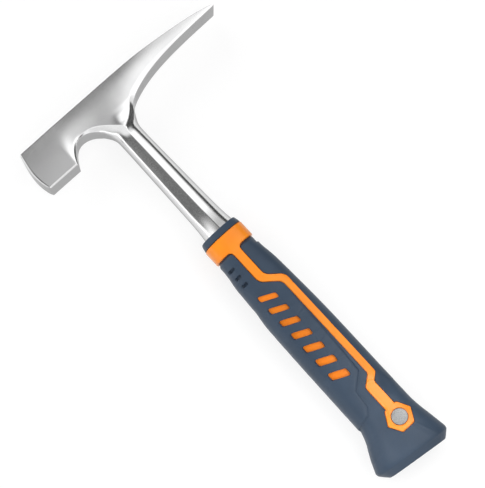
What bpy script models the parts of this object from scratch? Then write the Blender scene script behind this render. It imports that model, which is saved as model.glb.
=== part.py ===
"""Brick hammer: one steel forging for head, shaft and tang, in a two-shot moulded grip.

The hammer lies on its side. Its own axes are x towards the blade, y from the butt to the head and
z up, away from the ground, with the handle's axis on x = 0 and the middle plane of the tool on z = 0.
Sizes are in millimetres and become metres when a mesh is made.
"""
from math import cos, pi, radians, sin, tan

import bmesh
import bpy
from mathutils import Vector

MM = 0.001
CLEARANCE = 0.3

# Head
HEAD_TOP = 277.7
HEAD_THICKNESS = 25.0
TOP_EASE = 0.5
POLL_REACH = 54.7
POLL_HEIGHT = 26.2
POLL_LENGTH = 20.9
POLL_BEVEL = 1.2
FACE_CROWN = 2.6
ARCH_RISE = 11.2
BLADE_REACH = 86.4
BLADE_DROP = 8.7
BLADE_EDGE = 0.6
BLADE_ROOT_DEPTH = 19.0
CHEEK_TIP_DROP = 23.0

# Shaft and tang
NECK_HEIGHT = 238.0
NECK_LEFT = 7.4
NECK_RIGHT = 8.1
SHAFT_LEFT = 8.6
SHAFT_RIGHT = 10.7
SHAFT_RIDGE = 9.6
SHAFT_RIDGE_X = 1.4
TANG_WIDTH = 17.0
TANG_THICKNESS = 7.0
TANG_END = 12.0

# Grip, as heights on the handle's axis and reaches from it
COLLAR_TOP = 165.6
COLLAR_LENGTH = 10.1
RING_LENGTH = 4.4
RING_EASE = 1.2
COLLAR_REACH = 13.3
COLLAR_HALF_DEPTH = 12.2
PALM_HEIGHT = 85.0
PALM_REACH = 16.4
PALM_HALF_DEPTH = 13.8
KINK_HEIGHT = 32.0
KINK_REACH = 16.8
BUTT_HEIGHT = 4.0
BUTT_LEFT = 27.3
BUTT_RIGHT = 20.4
BUTT_HALF_DEPTH = 15.4
BASE_HEIGHT = -2.5
BASE_TILT = 7.1
BASE_INSET = 5.0
SKIN_THICKNESS = 2.5
TRIM_PROUD = 0.3
GRIP_SQUARENESS = 2.6

# Rail: three lanes joined by two slanted jogs, then the hexagon round the rivet
LANE_TOP_X = -0.8
LANE_TOP_WIDTH = 5.3
LANE_SIDE_X = 9.1
LANE_SIDE_WIDTH = 4.1
LANE_STUB_X = 3.4
LANE_STUB_WIDTH = 6.3
JOG_TOP_HEIGHT = 128.2
JOG_LOW_HEIGHT = 49.6
JOG_SLOPE = 38.0
RAIL_CORNER = 2.0
COLLAR_CORNER = 3.4
HEX_HEIGHT = 22.5
HEX_RADIUS = 8.7

# Windows and slots through the skin
WINDOW_COUNT = 7
WINDOW_TOP_GAP = 6.2
WINDOW_LOW_GAP = 13.15
WINDOW_SPREAD = 0.034
WINDOW_X = -5.6
WINDOW_WIDTH = 10.4
WINDOW_FIRST_HEIGHT = 3.7
WINDOW_LAST_HEIGHT = 5.0
WINDOW_SLANT = 25.5
WINDOW_CORNER = 1.1
SLOT_COUNT = 3
SLOT_TOP_GAP = 8.3
SLOT_PITCH = 5.55
SLOT_X = -10.5
SLOT_LENGTH = 3.9
SLOT_WIDTH = 1.9
SLOT_DEPTH = 1.1

# Rivet
RIVET_HEAD_RADIUS = 4.75
RIVET_HEAD_THICKNESS = 1.6
RIVET_PROUD = 0.2
RIVET_SHANK_RADIUS = 2.2
CAP_BOSS_RADIUS = 3.4
CAP_BOSS_LENGTH = 3.6

# Facets
FORGING_LEVELS = 2
GRIP_SIDES = 28
ROUND_SIDES = 24
CORNER_STEPS = 3

SMOOTHED_SIDE = 0.9


def material(name, colour, roughness, metallic):
    """Make a Principled material of one colour."""
    finish = bpy.data.materials.new(name)
    finish.use_nodes = True
    shader = finish.node_tree.nodes["Principled BSDF"]
    shader.inputs["Base Color"].default_value = (*colour, 1.0)
    shader.inputs["Roughness"].default_value = roughness
    shader.inputs["Metallic"].default_value = metallic
    return finish


def place(name, bm, finish=None, cutter=False):
    """Turn a bmesh in millimetres into a named object in metres."""
    bmesh.ops.recalc_face_normals(bm, faces=bm.faces)
    bmesh.ops.scale(bm, vec=Vector((MM, MM, MM)), verts=bm.verts)
    mesh = bpy.data.meshes.new(name)
    bm.to_mesh(mesh)
    bm.free()
    piece = bpy.data.objects.new(name, mesh)
    bpy.context.collection.objects.link(piece)
    if finish:
        mesh.materials.append(finish)
        mesh.shade_smooth()
        mesh.set_sharp_from_angle(angle=radians(35))
    if cutter:
        piece.hide_render = True
        piece.display_type = "WIRE"
    return piece


def boolean(piece, operation, other):
    """Add a Boolean modifier that works on a piece with another object."""
    step = piece.modifiers.new(operation.lower() + " " + other.name, "BOOLEAN")
    step.operation = operation
    step.object = other
    step.solver = "EXACT"


def subdivide(piece, levels):
    """Add a Subdivision Surface modifier with the same levels in the viewport and the render."""
    step = piece.modifiers.new("smooth", "SUBSURF")
    step.levels = levels
    step.render_levels = levels


def prism(outline, low, high):
    """Extrude a flat outline from one height to another."""
    bm = bmesh.new()
    face = bm.faces.new([bm.verts.new((x, y, low)) for x, y in outline])
    raised = bmesh.ops.extrude_face_region(bm, geom=[face])["geom"]
    top = [item for item in raised if isinstance(item, bmesh.types.BMVert)]
    bmesh.ops.translate(bm, vec=Vector((0.0, 0.0, high - low)), verts=top)
    return bm


def turned(profile, centre):
    """Spin a profile of (radius, height) points about an upright axis through a centre (x, y)."""
    bm = bmesh.new()
    verts = [bm.verts.new((radius, 0.0, height)) for radius, height in profile]
    edges = [bm.edges.new(pair) for pair in zip(verts, verts[1:])]
    bmesh.ops.spin(bm, geom=verts + edges, cent=(0.0, 0.0, 0.0), axis=(0.0, 0.0, 1.0),
                   angle=2.0 * pi, steps=ROUND_SIDES, use_merge=True, use_duplicate=False)
    bmesh.ops.remove_doubles(bm, verts=bm.verts, dist=1e-4)
    bmesh.ops.translate(bm, vec=Vector((*centre, 0.0)), verts=bm.verts)
    return bm


def lined_up(value, pairs):
    """Read a smooth curve through (position, value) pairs, which lie in rising order of position."""
    if value <= pairs[0][0]:
        return pairs[0][1]
    slopes = [(b[1] - a[1]) / (b[0] - a[0]) for a, b in zip(pairs, pairs[1:])]
    tangents = [slopes[0]]
    for before, after in zip(slopes, slopes[1:]):
        product = before * after
        tangents.append(2.0 * product / (before + after) if product > 0.0 else 0.0)
    tangents.append(slopes[-1])
    for index, (start, end) in enumerate(zip(pairs, pairs[1:])):
        if value <= end[0]:
            span = end[0] - start[0]
            t = (value - start[0]) / span
            hold = 2.0 * t ** 3 - 3.0 * t ** 2 + 1.0
            lean_in = (t ** 3 - 2.0 * t ** 2 + t) * span * tangents[index]
            lean_out = (t ** 3 - t ** 2) * span * tangents[index + 1]
            return hold * start[1] + (1.0 - hold) * end[1] + lean_in + lean_out
    return pairs[-1][1]


def turn_corner(before, corner, after, radius):
    """Replace one corner of an outline with an arc, as short as its sides allow."""
    back = (before - corner).normalized()
    on = (after - corner).normalized()
    half = back.angle(on) / 2.0
    reach = min(radius / tan(half), 0.48 * (before - corner).length, 0.48 * (after - corner).length)
    start = corner + back * reach
    end = corner + on * reach
    arc = []
    for step in range(CORNER_STEPS + 1):
        t = step / CORNER_STEPS
        arc.append(start * (1.0 - t) ** 2 + corner * (2.0 * t * (1.0 - t)) + end * t ** 2)
    return arc


def rounded(corners):
    """Round an outline given as (x, y, radius) corners; a radius of 0 keeps the corner sharp."""
    outline = []
    for index, (x, y, radius) in enumerate(corners):
        here = Vector((x, y))
        if radius <= 0.0:
            outline.append(here)
            continue
        before = Vector(corners[index - 1][:2])
        after = Vector(corners[(index + 1) % len(corners)][:2])
        outline.extend(turn_corner(before, here, after, radius))
    return outline


def grown(outline, margin):
    """Move every side of an anticlockwise outline outwards by a margin."""
    result = []
    for index, here in enumerate(outline):
        into = (here - outline[index - 1]).normalized()
        away = (outline[(index + 1) % len(outline)] - here).normalized()
        left = Vector((into.y, -into.x))
        right = Vector((away.y, -away.x))
        bisector = left + right
        result.append(here + bisector * (2.0 * margin / bisector.length_squared))
    return result


# The forged body

def shaft_section(height, margin=0.0):
    """Control points of half the shaft's section: left side, shoulder, ridge, shoulder, right side."""
    grip_front = COLLAR_TOP + RING_LENGTH
    share = min(1.0, max(0.0, (NECK_HEIGHT - height) / (NECK_HEIGHT - grip_front)))
    left = (NECK_LEFT + (SHAFT_LEFT - NECK_LEFT) * share + margin) / SMOOTHED_SIDE
    right = (NECK_RIGHT + (SHAFT_RIGHT - NECK_RIGHT) * share + margin) / SMOOTHED_SIDE
    ridge_x = SHAFT_RIDGE_X * share
    ridge = SHAFT_RIDGE + margin
    return [Vector((-left, height, 0.0)),
            Vector((ridge_x - 0.68 * (left + ridge_x), height, 0.72 * ridge)),
            Vector((ridge_x, height, ridge)),
            Vector((ridge_x + 0.66 * (right - ridge_x), height, 0.72 * ridge)),
            Vector((right, height, 0.0))]


def tang_section(height):
    """Control points of half the tang's section, a flat bar."""
    wide = TANG_WIDTH / 2.0
    thick = TANG_THICKNESS / 2.0
    return [Vector((-wide, height, 0.0)), Vector((-wide, height, thick)), Vector((0.0, height, thick)),
            Vector((wide, height, thick)), Vector((wide, height, 0.0))]


def handle_rows():
    """The five rows of control points that run down the shaft and the tang."""
    front = COLLAR_TOP + RING_LENGTH
    seat = COLLAR_TOP + CLEARANCE
    middle = (NECK_HEIGHT + front) / 2.0
    sections = [shaft_section(h) for h in (NECK_HEIGHT, middle, front + 4.0, seat)]
    sections += [tang_section(h) for h in (seat, TANG_END)]
    return [list(row) for row in zip(*sections)]


def head_rows():
    """Rows of control points along the head: top, cheek edge, and wall edge under poll and blade."""
    under = HEAD_TOP - POLL_HEIGHT
    half = HEAD_THICKNESS / 2.0
    corner = POLL_LENGTH - POLL_REACH
    arch = -NECK_LEFT - corner
    top_y = HEAD_TOP
    edge_top = HEAD_TOP - BLADE_DROP
    edge_low = edge_top - BLADE_EDGE
    root = HEAD_TOP - BLADE_ROOT_DEPTH
    run = BLADE_REACH - NECK_RIGHT
    tip = HEAD_TOP - CHEEK_TIP_DROP
    sag = edge_low - root

    def over(share):
        return NECK_RIGHT + run * share

    flat = [-POLL_REACH, corner - 0.5 * POLL_LENGTH, corner, corner + 0.16 * arch, corner + 0.36 * arch,
            corner + 0.64 * arch, -1.2 * NECK_LEFT, 0.0, over(0.05), over(0.13), over(0.24)]
    droop = [(0.38, 0.07), (0.56, 0.24), (0.78, 0.47), (0.97, 0.82), (1.0, 1.0)]
    top = [(x, top_y) for x in flat] + [(over(along), top_y - BLADE_DROP * fall) for along, fall in droop]
    cheek = [(-POLL_REACH, under + POLL_BEVEL), (corner - 0.5 * POLL_LENGTH, under + POLL_BEVEL),
             (corner - 0.6, under + POLL_BEVEL), (corner + 0.10 * arch, under + 0.70 * ARCH_RISE),
             (corner + 0.33 * arch, under + 1.07 * ARCH_RISE),
             (corner + 0.64 * arch, under + 1.04 * ARCH_RISE),
             (corner + 0.90 * arch, under + 0.80 * ARCH_RISE), (0.0, tip),
             (over(-0.02), tip + 3.8), (over(0.07), tip + 7.2), (over(0.19), root + 0.68 * sag),
             (over(0.34), root + 1.02 * sag), (over(0.54), edge_low + 0.9), (over(0.77), edge_low + 0.8),
             (over(0.97), edge_low + 0.4), (BLADE_REACH, edge_low + 0.35)]
    wall_left = [(-POLL_REACH, under, half - POLL_BEVEL),
                 (corner - 0.5 * POLL_LENGTH, under, half - POLL_BEVEL),
                 (corner, under, half - POLL_BEVEL),
                 (corner + 0.14 * arch, under + 0.63 * ARCH_RISE, half - 1.4),
                 (corner + 0.33 * arch, under + ARCH_RISE, half - 1.7),
                 (corner + 0.62 * arch, under + 0.94 * ARCH_RISE, half - 2.0),
                 (corner + 0.88 * arch, under + 0.46 * ARCH_RISE, half - 3.4),
                 (-0.93 * NECK_LEFT, under - 4.2, half - 5.8)]
    wall_right = [(BLADE_REACH, edge_low, half - 0.3), (over(0.97), edge_low, half - 0.3),
                  (over(0.77), edge_low - 0.2, half - 0.3), (over(0.54), edge_low - 0.5, half - 0.4),
                  (over(0.34), root + 0.75 * sag, half - 0.5), (over(0.19), root + 0.42 * sag, half - 0.7),
                  (over(0.075), root + 0.02 * sag, half - 1.2), (over(0.025), tip + 0.2, half - 3.0),
                  (0.78 * NECK_RIGHT, under - 3.0, half - 5.4)]
    return top, cheek, wall_left, wall_right


def strip(bm, first, second):
    """Fill quads between two rows of vertices."""
    for a, b, c, d in zip(first, first[1:], second[1:], second):
        bm.faces.new((a, b, c, d))


def crease_row(bm, row, weight):
    """Sharpen the edges along a row of vertices."""
    layer = bm.edges.layers.float.get("crease_edge") or bm.edges.layers.float.new("crease_edge")
    for a, b in zip(row, row[1:]):
        edge = bm.edges.get((a, b))
        if edge:
            edge[layer] = weight


def forged_body(finish):
    """Model half of the forging as a control cage, then mirror and smooth it."""
    bm = bmesh.new()
    bm.edges.layers.float.new("crease_edge")
    half = HEAD_THICKNESS / 2.0
    top, cheek, wall_left, wall_right = head_rows()
    left_side, left_shoulder, ridge, right_shoulder, right_side = handle_rows()
    joint = cheek.index((0.0, HEAD_TOP - CHEEK_TIP_DROP))

    def row(points):
        return [bm.verts.new(point) for point in points]

    crown = row([(x, y, 0.0) for x, y in top])
    ease = row([(x, y, half - TOP_EASE) for x, y in top])
    brow = row([(x, y - min(TOP_EASE, 0.25 * (y - c[1])), half) for (x, y), c in zip(top, cheek)])
    middle = row([((t[0] + c[0]) / 2.0, (t[1] + c[1]) / 2.0, half) for t, c in zip(top, cheek)])
    edge = row([(x, y, half) for x, y in cheek])
    spine = row(ridge)
    wall_l = row(wall_left) + row(left_shoulder)
    wall_r = row(wall_right) + row(right_shoulder)
    under_l = row([(x - 0.12 * NECK_LEFT * (i == len(wall_left) - 1), y, 0.0)
                   for i, (x, y, z) in enumerate(wall_left)]) + row(left_side)
    under_r = row([(x + 0.32 * NECK_RIGHT * (i == len(wall_right) - 1), y, 0.0)
                   for i, (x, y, z) in enumerate(wall_right)]) + row(right_side)

    band_l = edge[:joint + 1] + spine
    band_r = edge[:joint - 1:-1] + spine
    for first, second in ((crown, ease), (ease, brow), (brow, middle), (middle, edge), (band_l, wall_l),
                          (wall_l, under_l)):
        strip(bm, first, second)
    strip(bm, wall_r, band_r)
    strip(bm, under_r, wall_r)

    striking_face(bm, [crown[0], ease[0], brow[0], middle[0], edge[0], wall_l[0], under_l[0]])
    bm.faces.new((crown[-1], ease[-1], brow[-1], middle[-1], edge[-1], wall_r[0], under_r[0]))
    bm.faces.new((under_l[-1], wall_l[-1], spine[-1], wall_r[-1], under_r[-1]))

    crease_row(bm, ease, 0.8)
    crease_row(bm, brow, 0.8)
    crease_row(bm, edge[:joint + 1], 1.0)
    crease_row(bm, edge[joint:], 0.45)
    crease_row(bm, [edge[joint]] + spine, 1.0)
    crease_row(bm, wall_l[:joint], 1.0)
    crease_row(bm, wall_l[joint - 1:joint + 1], 0.4)
    crease_row(bm, wall_r[:joint - 1], 1.0)
    crease_row(bm, wall_r[joint - 2:joint + 1], 0.5)
    crease_row(bm, [edge[2], wall_l[2], under_l[2]], 1.0)
    crease_row(bm, [crown[-1], ease[-1], brow[-1], middle[-1], edge[-1], wall_r[0], under_r[0]], 1.0)
    for ring in (-3, -2, -1):
        crease_row(bm, [under_l[ring], wall_l[ring], spine[ring], wall_r[ring], under_r[ring]], 1.0)
    crease_row(bm, wall_l[-2:], 1.0)
    crease_row(bm, wall_r[-2:], 1.0)

    piece = place("forged_body", bm, finish)
    mirror = piece.modifiers.new("far half", "MIRROR")
    mirror.use_axis = (False, False, True)
    mirror.use_clip = True
    mirror.merge_threshold = 0.00005
    subdivide(piece, FORGING_LEVELS)
    return piece


def striking_face(bm, rim):
    """Close the poll with a bevelled, crowned striking face inside its rim."""
    middle_y = HEAD_TOP - POLL_HEIGHT / 2.0
    half = HEAD_THICKNESS / 2.0
    face = []
    for vert in rim:
        offset_y = (vert.co.y - middle_y) / (POLL_HEIGHT / 2.0)
        offset_z = vert.co.z / half
        swell = FACE_CROWN * (1.0 - (offset_y ** 2 + offset_z ** 2) / 2.0)
        vert.co.x -= swell
        inset = POLL_BEVEL
        spot = Vector((vert.co.x - 0.75 * POLL_BEVEL,
                       vert.co.y - inset * offset_y, vert.co.z - inset * offset_z))
        face.append(bm.verts.new(spot))
    strip(bm, face, rim)
    centre = bm.verts.new((-POLL_REACH - 1.3 * FACE_CROWN - 0.75 * POLL_BEVEL, middle_y, 0.0))
    bm.faces.new((centre, face[0], face[1], face[2], face[3]))
    bm.faces.new((centre, face[3], face[4], face[5], face[6]))
    crease_row(bm, rim, 1.0)
    crease_row(bm, face, 1.0)


# The grip

def left_reach(height):
    """How far the grip reaches towards the poll at a height."""
    return lined_up(height, [(BUTT_HEIGHT, BUTT_LEFT), (KINK_HEIGHT - 18.5, BUTT_LEFT - 3.4),
                             (KINK_HEIGHT - 7.0, KINK_REACH + 2.0), (KINK_HEIGHT, KINK_REACH),
                             (PALM_HEIGHT, PALM_REACH - 0.1), (COLLAR_TOP - 29.0, COLLAR_REACH + 1.5),
                             (COLLAR_TOP - 15.0, COLLAR_REACH - 0.1), (COLLAR_TOP, COLLAR_REACH)])


def right_reach(height):
    """How far the grip reaches towards the blade at a height."""
    return lined_up(height, [(BUTT_HEIGHT, BUTT_RIGHT), (KINK_HEIGHT - 3.0, KINK_REACH),
                             (PALM_HEIGHT, PALM_REACH + 0.3), (COLLAR_TOP - 29.0, COLLAR_REACH + 1.6),
                             (COLLAR_TOP - 15.0, COLLAR_REACH), (COLLAR_TOP, COLLAR_REACH)])


def half_depth(height):
    """Half the grip's thickness at a height."""
    return lined_up(height, [(BUTT_HEIGHT, BUTT_HALF_DEPTH), (KINK_HEIGHT, PALM_HALF_DEPTH),
                             (PALM_HEIGHT, PALM_HALF_DEPTH), (COLLAR_TOP - 15.0, COLLAR_HALF_DEPTH),
                             (COLLAR_TOP, COLLAR_HALF_DEPTH)])


def lean(height):
    """Slope of a section, from square to the handle above the kink to the tilt of the base."""
    share = min(1.0, max(0.0, (KINK_HEIGHT - height) / (KINK_HEIGHT - BUTT_HEIGHT)))
    return -tan(radians(BASE_TILT)) * share


def grip_section(height, inset=0.0, level=None):
    """One section of the grip's outer form, shrunk by an inset, as a loop of points."""
    level = height if level is None else level
    left = left_reach(height) - inset
    right = right_reach(height) - inset
    deep = half_depth(height) - inset
    centre = (right - left) / 2.0
    wide = (right + left) / 2.0
    power = 2.0 / GRIP_SQUARENESS
    loop = []
    for index in range(GRIP_SIDES):
        angle = 2.0 * pi * (index + 0.5) / GRIP_SIDES
        across = abs(cos(angle)) ** power * (1.0 if cos(angle) > 0.0 else -1.0)
        up = abs(sin(angle)) ** power * (1.0 if sin(angle) > 0.0 else -1.0)
        x = centre + wide * across
        loop.append(Vector((x, level + lean(height) * x, deep * up)))
    return loop


def loft(sections):
    """Skin a closed solid over a stack of sections, from the lowest to the highest."""
    bm = bmesh.new()
    loops = [[bm.verts.new(point) for point in section] for section in sections]
    for low, high in zip(loops, loops[1:]):
        for index in range(len(low)):
            after = (index + 1) % len(low)
            bm.faces.new((low[index], low[after], high[after], high[index]))
    bm.faces.new(list(reversed(loops[0])))
    bm.faces.new(loops[-1])
    return bm


def heights_between(low, high, longest):
    """Even heights from low to high, no further apart than the longest step."""
    count = max(1, round((high - low) / longest))
    return [low + (high - low) * index / count for index in range(count + 1)]


def grip_form(inset, top, base=True):
    """The grip's outer form up to a height, eased into its tilted base, or shrunk by an inset."""
    sections = []
    if base:
        drop = BUTT_HEIGHT - BASE_HEIGHT
        for share in (1.0, 0.8, 0.35):
            cut = inset + BASE_INSET * share ** 2
            sections.append(grip_section(BUTT_HEIGHT, cut, BUTT_HEIGHT - drop * share))
    else:
        sections.append(grip_section(BUTT_HEIGHT, inset, BASE_HEIGHT + 2.0 * SKIN_THICKNESS))
    for height in heights_between(BUTT_HEIGHT + 2.0 * SKIN_THICKNESS * (not base), KINK_HEIGHT, 4.7):
        sections.append(grip_section(height, inset))
    for height in heights_between(KINK_HEIGHT, top, 8.5)[1:]:
        sections.append(grip_section(height, inset))
    return loft(sections)


def hexagon_corner(turn):
    """A corner of the hexagon, counted anticlockwise from the one nearest the blade."""
    angle = turn * pi / 3.0
    return LANE_STUB_X + HEX_RADIUS * cos(angle), HEX_HEIGHT + HEX_RADIUS * sin(angle)


def trim_outline():
    """Outline of the collar band, the rail and the hexagon, anticlockwise."""
    far = 2.0 * BUTT_LEFT
    low = COLLAR_TOP - COLLAR_LENGTH
    slope = tan(radians(JOG_SLOPE))
    top_l = LANE_TOP_X - LANE_TOP_WIDTH / 2.0
    top_r = LANE_TOP_X + LANE_TOP_WIDTH / 2.0
    side_l = LANE_SIDE_X - LANE_SIDE_WIDTH / 2.0
    side_r = LANE_SIDE_X + LANE_SIDE_WIDTH / 2.0
    stub_l = LANE_STUB_X - LANE_STUB_WIDTH / 2.0
    stub_r = LANE_STUB_X + LANE_STUB_WIDTH / 2.0
    upper = (top_r + side_l) / 2.0
    lower = (stub_r + side_l) / 2.0
    rise = 0.5 * LANE_SIDE_WIDTH / cos(radians(JOG_SLOPE))
    flat = hexagon_corner(1)[1]

    def upper_jog(x, side):
        return JOG_TOP_HEIGHT + slope * (upper - x) + side * rise

    def lower_jog(x, side):
        return JOG_LOW_HEIGHT - slope * (lower - x) + side * rise

    left = [(-far, COLLAR_TOP, 0.0), (-far, low, 0.0), (top_l, low, COLLAR_CORNER),
            (top_l, upper_jog(top_l, -1), RAIL_CORNER), (side_l, upper_jog(side_l, -1), RAIL_CORNER),
            (side_l, lower_jog(side_l, 1), RAIL_CORNER), (stub_l, lower_jog(stub_l, 1), RAIL_CORNER),
            (stub_l, flat, 0.0)]
    boss = [(*hexagon_corner(turn), 0.12 * HEX_RADIUS) for turn in (2, 3, 4, 5, 6, 7)]
    right = [(stub_r, flat, 0.0), (stub_r, lower_jog(stub_r, -1), RAIL_CORNER),
             (side_r, lower_jog(side_r, -1), RAIL_CORNER), (side_r, upper_jog(side_r, 1), RAIL_CORNER),
             (top_r, upper_jog(top_r, 1), RAIL_CORNER), (top_r, low, COLLAR_CORNER),
             (far, low, 0.0), (far, COLLAR_TOP, 0.0)]
    return rounded(left + boss + right)


def window_steps(index):
    """Steps from the first window down to another, each step a little longer than the one above it."""
    return index + WINDOW_SPREAD * index * (index - 1) / 2.0


def window_outline(index):
    """Outline of one slanted window."""
    last = WINDOW_COUNT - 1
    height = WINDOW_FIRST_HEIGHT + (WINDOW_LAST_HEIGHT - WINDOW_FIRST_HEIGHT) * index / last
    first_y = JOG_TOP_HEIGHT - WINDOW_TOP_GAP
    last_y = JOG_LOW_HEIGHT + WINDOW_LOW_GAP
    middle = first_y + (last_y - first_y) * window_steps(index) / window_steps(last)
    fall = tan(radians(WINDOW_SLANT)) * WINDOW_WIDTH / 2.0
    left = WINDOW_X - WINDOW_WIDTH / 2.0
    right = WINDOW_X + WINDOW_WIDTH / 2.0
    corners = [(left, middle + fall - height / 2.0), (right, middle - fall - height / 2.0),
               (right, middle - fall + height / 2.0), (left, middle + fall + height / 2.0)]
    return rounded([(x, y, WINDOW_CORNER) for x, y in corners])


def slot_height(index):
    """Height of one slot, counted down from the collar."""
    return COLLAR_TOP - COLLAR_LENGTH - SLOT_TOP_GAP - index * SLOT_PITCH


def slot_outline(index):
    """Outline of one short slot with round ends, square to the handle."""
    y = slot_height(index)
    half = SLOT_LENGTH / 2.0
    tall = SLOT_WIDTH / 2.0
    corners = [(-half, -tall), (half, -tall), (half, tall), (-half, tall)]
    return rounded([(SLOT_X + dx, y + dy, 0.9 * tall) for dx, dy in corners])


def surface_height(x, y):
    """Height of the grip's outer form above the middle plane at a point."""
    level = y - lean(y) * x
    centre = (right_reach(level) - left_reach(level)) / 2.0
    wide = (right_reach(level) + left_reach(level)) / 2.0
    share = min(1.0, abs(x - centre) / wide)
    return half_depth(level) * (1.0 - share ** GRIP_SQUARENESS) ** (1.0 / GRIP_SQUARENESS)


def joined(bodies):
    """Put several separate solids into one bmesh."""
    bm = bmesh.new()
    for body in bodies:
        mesh = bpy.data.meshes.new("part of a cutter")
        body.to_mesh(mesh)
        body.free()
        bm.from_mesh(mesh)
        bpy.data.meshes.remove(mesh)
    return bm


def grip_core(finish):
    """The orange moulding: collar, rails and hexagons raised from the core under the skin."""
    top = COLLAR_TOP - 0.5 * COLLAR_LENGTH
    core = place("grip_core", grip_form(-TRIM_PROUD, COLLAR_TOP + RING_LENGTH), finish)
    reach = 2.0 * BUTT_HALF_DEPTH
    boolean(core, "INTERSECT", place("trim cutter", prism(trim_outline(), -reach, reach), cutter=True))
    boolean(core, "UNION", place("core form", grip_form(SKIN_THICKNESS, top, base=False), cutter=True))
    boolean(core, "DIFFERENCE", place("tang cutter", tang_slot(), cutter=True))
    boolean(core, "DIFFERENCE", place("rivet cutter", turned(rivet_hole(), rivet_spot()), cutter=True))
    return core


def tang_slot():
    """The slot in the core that takes the tang, open at the collar's face."""
    wide = TANG_WIDTH / 2.0 + CLEARANCE
    thick = TANG_THICKNESS / 2.0 + CLEARANCE
    low = TANG_END - CLEARANCE
    high = COLLAR_TOP + RING_LENGTH
    return prism([(-wide, low), (wide, low), (wide, high), (-wide, high)], -thick, thick)


def grip_skin(finish):
    """The soft overmould, cut out for the rail, the windows and the slots."""
    skin = place("grip_skin", grip_form(0.0, COLLAR_TOP - 0.5 * COLLAR_LENGTH), finish)
    reach = 2.0 * BUTT_HALF_DEPTH
    hollow = grip_form(SKIN_THICKNESS - CLEARANCE, COLLAR_TOP, base=False)
    boolean(skin, "DIFFERENCE", place("skin hollow", hollow, cutter=True))
    openings = [grown(trim_outline(), CLEARANCE)] + [window_outline(i) for i in range(WINDOW_COUNT)]
    cuts = joined([prism(outline, -reach, reach) for outline in openings])
    boolean(skin, "DIFFERENCE", place("skin openings", cuts, cutter=True))
    slots = []
    for index in range(SLOT_COUNT):
        floor = surface_height(SLOT_X, slot_height(index)) - SLOT_DEPTH
        slots.append(prism(slot_outline(index), floor, reach))
        slots.append(prism(slot_outline(index), -reach, -floor))
    boolean(skin, "DIFFERENCE", place("skin slots", joined(slots), cutter=True))
    return skin


def front_ring(finish):
    """The ring that closes the front of the grip round the shaft."""
    low = COLLAR_TOP + CLEARANCE
    high = COLLAR_TOP + RING_LENGTH
    sections = [grip_section(COLLAR_TOP, 0.0, low), grip_section(COLLAR_TOP, 0.1, high - RING_EASE),
                grip_section(COLLAR_TOP, RING_EASE, high)]
    ring = place("front_ring", loft(sections), finish)
    boolean(ring, "DIFFERENCE", shaft_cutter())
    return ring


def shaft_cutter():
    """A straight length of the shaft's own section, grown by the clearance."""
    bm = bmesh.new()
    bm.edges.layers.float.new("crease_edge")
    ends = []
    for height in (COLLAR_TOP - RING_LENGTH, COLLAR_TOP + 3.0 * RING_LENGTH):
        section = shaft_section(COLLAR_TOP, CLEARANCE)
        ends.append([bm.verts.new((point.x, height, point.z)) for point in section])
    strip(bm, *ends)
    for end in ends:
        bm.faces.new(end)
        crease_row(bm, end, 1.0)
    crease_row(bm, [end[2] for end in ends], 1.0)
    cutter = place("shaft cutter", bm, cutter=True)
    mirror = cutter.modifiers.new("far half", "MIRROR")
    mirror.use_axis = (False, False, True)
    mirror.merge_threshold = 0.00005
    subdivide(cutter, FORGING_LEVELS)
    return cutter


# The rivet

def rivet_spot():
    """Where the rivet passes through the grip."""
    return LANE_STUB_X, HEX_HEIGHT


def rivet_seat():
    """Height of the seats under the rivet's two heads."""
    return surface_height(*rivet_spot()) + TRIM_PROUD + RIVET_PROUD - RIVET_HEAD_THICKNESS


def rivet_hole():
    """Profile of the stepped hole through the core, from the near side to the far side."""
    seat = rivet_seat() - CLEARANCE
    out = 2.0 * BUTT_HALF_DEPTH
    head = RIVET_HEAD_RADIUS + CLEARANCE
    shank = RIVET_SHANK_RADIUS + CLEARANCE
    boss = CAP_BOSS_RADIUS + CLEARANCE
    floor = CAP_BOSS_LENGTH + CLEARANCE - rivet_seat()
    return [(0.0, out), (head, out), (head, seat), (shank, seat), (shank, floor), (boss, floor),
            (boss, -seat), (head, -seat), (head, -out), (0.0, -out)]


def rivet_stud(finish):
    """The near head with its shank through the grip and the tang."""
    seat = rivet_seat()
    top = seat + RIVET_HEAD_THICKNESS
    ease = 0.25 * RIVET_HEAD_THICKNESS
    end = -seat - 0.2 * RIVET_HEAD_THICKNESS
    profile = [(0.0, top), (RIVET_HEAD_RADIUS - ease, top), (RIVET_HEAD_RADIUS, top - ease),
               (RIVET_HEAD_RADIUS, seat), (RIVET_SHANK_RADIUS, seat), (RIVET_SHANK_RADIUS, end), (0.0, end)]
    return place("rivet_stud", turned(profile, rivet_spot()), finish)


def rivet_cap(finish):
    """The far head, with a socket that takes the end of the shank."""
    seat = rivet_seat()
    top = -seat - RIVET_HEAD_THICKNESS
    ease = 0.25 * RIVET_HEAD_THICKNESS
    socket = RIVET_SHANK_RADIUS + CLEARANCE
    lip = CAP_BOSS_LENGTH - seat
    floor = -seat - 0.2 * RIVET_HEAD_THICKNESS - CLEARANCE
    profile = [(0.0, floor), (socket, floor), (socket, lip), (CAP_BOSS_RADIUS, lip),
               (CAP_BOSS_RADIUS, -seat), (RIVET_HEAD_RADIUS, -seat), (RIVET_HEAD_RADIUS, top + ease),
               (RIVET_HEAD_RADIUS - ease, top), (0.0, top)]
    return place("rivet_cap", turned(profile, rivet_spot()), finish)


def drill_tang(body):
    """Drill the rivet's hole through the tang."""
    reach = TANG_THICKNESS
    radius = RIVET_SHANK_RADIUS + CLEARANCE
    hole = turned([(0.0, reach), (radius, reach), (radius, -reach), (0.0, -reach)], rivet_spot())
    boolean(body, "DIFFERENCE", place("tang drill", hole, cutter=True))


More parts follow.
